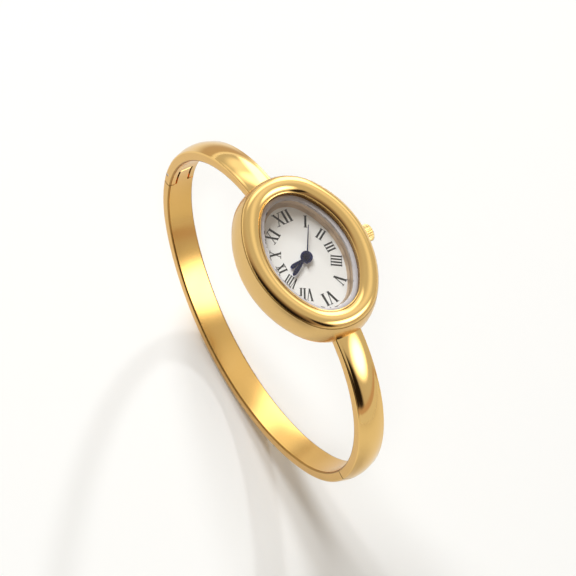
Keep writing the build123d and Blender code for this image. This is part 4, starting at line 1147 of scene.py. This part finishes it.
def floor_material(floor_z):
    """Pale matt floor, which polished metal sees darker and with zones of shade."""
    material, tree, shader = new_material("pale_floor")
    shader.inputs["Roughness"].default_value = FLOOR_ROUGHNESS
    shader.inputs["Specular IOR Level"].default_value = 0.0
    coords = tree.nodes.new("ShaderNodeTexCoord")
    in_metal = FLOOR_IN_METAL
    for x, y, half_x, half_y, turn, soft, colour in FLOOR_ZONES:
        place, size = (x * MM, y * MM, floor_z), (half_x * MM, half_y * MM, 1)
        rotation = (0, 0, math.radians(turn))
        inside = local_reach(tree, coords.outputs["Object"], place, size, soft, rotation)
        in_metal = mixed(tree, inside, in_metal, colour)
    path = tree.nodes.new("ShaderNodeLightPath")
    seen = mixed(tree, path.outputs["Is Glossy Ray"], FLOOR_COLOUR, in_metal)
    tree.links.new(seen, shader.inputs["Base Color"])
    return material


def make_floor():
    """A level square floor that the lower half of the bangle stands on."""
    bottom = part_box("lower_band")[0][2]
    half = FLOOR_HALF_SIZE * MM
    corners = [(-half, -half, bottom), (half, -half, bottom), (half, half, bottom), (-half, half, bottom)]
    mesh = bpy.data.meshes.new("floor")
    mesh.from_pydata(corners, [], [(0, 1, 2, 3)])
    mesh.materials.append(floor_material(bottom))
    floor = bpy.data.objects.new("floor", mesh)
    bpy.context.scene.collection.objects.link(floor)


# World

# What polished metal sees round it is an even grey with soft zones. Each has the azimuth and elevation of
# its middle, half its width and height and its tilt, all in degrees, the softness of its edge and a level
STUDIO_ZONES = [
    (60, 33, 34, 11, 0, 0.5, 2.4),
    (74, 15, 20, 11, 0, 0.5, 1.2),
    (48, 18, 13, 26, 0, 0.4, 3.5),
    (33, 61, 19, 15, 0, 0.9, 1.0),
    (303, 44, 24, 14, -20, 0.5, 4.5),
    (200, 10, 66, 36, 0, 0.6, 0.4),
    (196, 12, 38, 33, 0, 0.4, 0.16),
    (192, 5, 36, 22, 0, 0.3, 0.012),
    (249, 29, 28, 11, -54, 0.3, 0.015),
    (292, -20, 62, 34, 0, 0.06, 0.5),
    (292, -20, 60, 27, 0, 0.02, 0.72),
]
ZONE_DEPTH = 1.2
STUDIO_BASE = 0.63
CARD_TINT = (1.12, 0.84, 0.72)
ROOM_LIGHT = 0.145
ROOM_COLOUR = (1.3, 1.0, 0.66, 1)
WHITE_BACKGROUND = (0.985, 0.985, 0.975, 1)


def studio_zone(tree, source, below, zone):
    """Lay one soft oval zone over the colour below it; those darker than the studio are warm."""
    azimuth, elevation, half_wide, half_high, tilt, soft, level = zone
    size = (ZONE_DEPTH, math.sin(math.radians(half_wide)), math.sin(math.radians(half_high)))
    rotation = tuple(math.radians(angle) for angle in (tilt, -elevation, azimuth))
    inside = local_reach(tree, source, direction(azimuth, elevation), size, soft, rotation)
    tint = CARD_TINT if level < STUDIO_BASE else WHITE
    return mixed(tree, inside, below, tuple(level * part for part in tint))


def make_world():
    """White to the camera, an even room for soft light, and soft boxes and dark cards in reflections."""
    world = bpy.data.worlds.new("studio")
    bpy.context.scene.world = world
    world.use_nodes = True
    tree = world.node_tree
    tree.nodes.clear()
    output = tree.nodes.new("ShaderNodeOutputWorld")
    coords = tree.nodes.new("ShaderNodeTexCoord")
    colour = (STUDIO_BASE, STUDIO_BASE, STUDIO_BASE)
    for zone in STUDIO_ZONES:
        colour = studio_zone(tree, coords.outputs["Generated"], colour, zone)
    studio = tree.nodes.new("ShaderNodeBackground")
    tree.links.new(colour, studio.inputs["Color"])
    room = add_node(tree, "ShaderNodeBackground", Color=ROOM_COLOUR, Strength=ROOM_LIGHT)
    white = add_node(tree, "ShaderNodeBackground", Color=WHITE_BACKGROUND)
    path = tree.nodes.new("ShaderNodeLightPath").outputs
    bare = calculated(tree, "SUBTRACT", path["Is Glossy Ray"], path["Is Transmission Ray"], clamp=True)
    lit = mixed_shaders(tree, bare, room.outputs[0], studio.outputs[0])
    seen = mixed_shaders(tree, path["Is Camera Ray"], lit, white.outputs[0])
    tree.links.new(seen, output.inputs[0])


# Lamps

# Name, azimuth and elevation in degrees, size, and power in watts
LAMPS = [
    ("overhead", 87, 35, 1500.0, 108.0),
    ("side", 47, 27, 220.0, 20.5),
    ("front", 208, 62, 900.0, 11.5),
]
LAMP_DISTANCE = 3000.0
LAMP_COLOUR = (0.96, 1.0, 1.03)


def make_lamp(name, azimuth, elevation, size, power):
    """A round soft lamp aimed at the watch, kept out of the metal's reflections."""
    away = direction(azimuth, elevation)
    data = bpy.data.lights.new(name, "AREA")
    data.shape = "DISK"
    data.size = size * MM
    data.energy = power
    data.color = LAMP_COLOUR
    lamp = bpy.data.objects.new(name, data)
    lamp.rotation_euler = away.to_track_quat("Z", "Y").to_euler()
    lamp.location = away * LAMP_DISTANCE * MM + Vector((0, 0, RING_SIDE_Z * MM))
    lamp.visible_glossy = False
    lamp.visible_transmission = False
    bpy.context.scene.collection.objects.link(lamp)


def main():
    """Dress the watch and set up its camera, floor and light."""
    materials = make_materials()
    make_camera()
    make_bezel(materials["soft"], materials["bore"])
    make_case_side(materials["satin"], materials["bore"])
    make_glass(materials)
    make_crown(materials["crown"])
    make_arms(materials)
    make_lower_half(materials)
    make_hands(materials)
    make_numerals(materials["ink"])
    dress_nodes(materials)
    make_floor()
    make_world()
    for lamp in LAMPS:
        make_lamp(*lamp)
    bpy.context.scene.view_settings.view_transform = "Standard"


main()
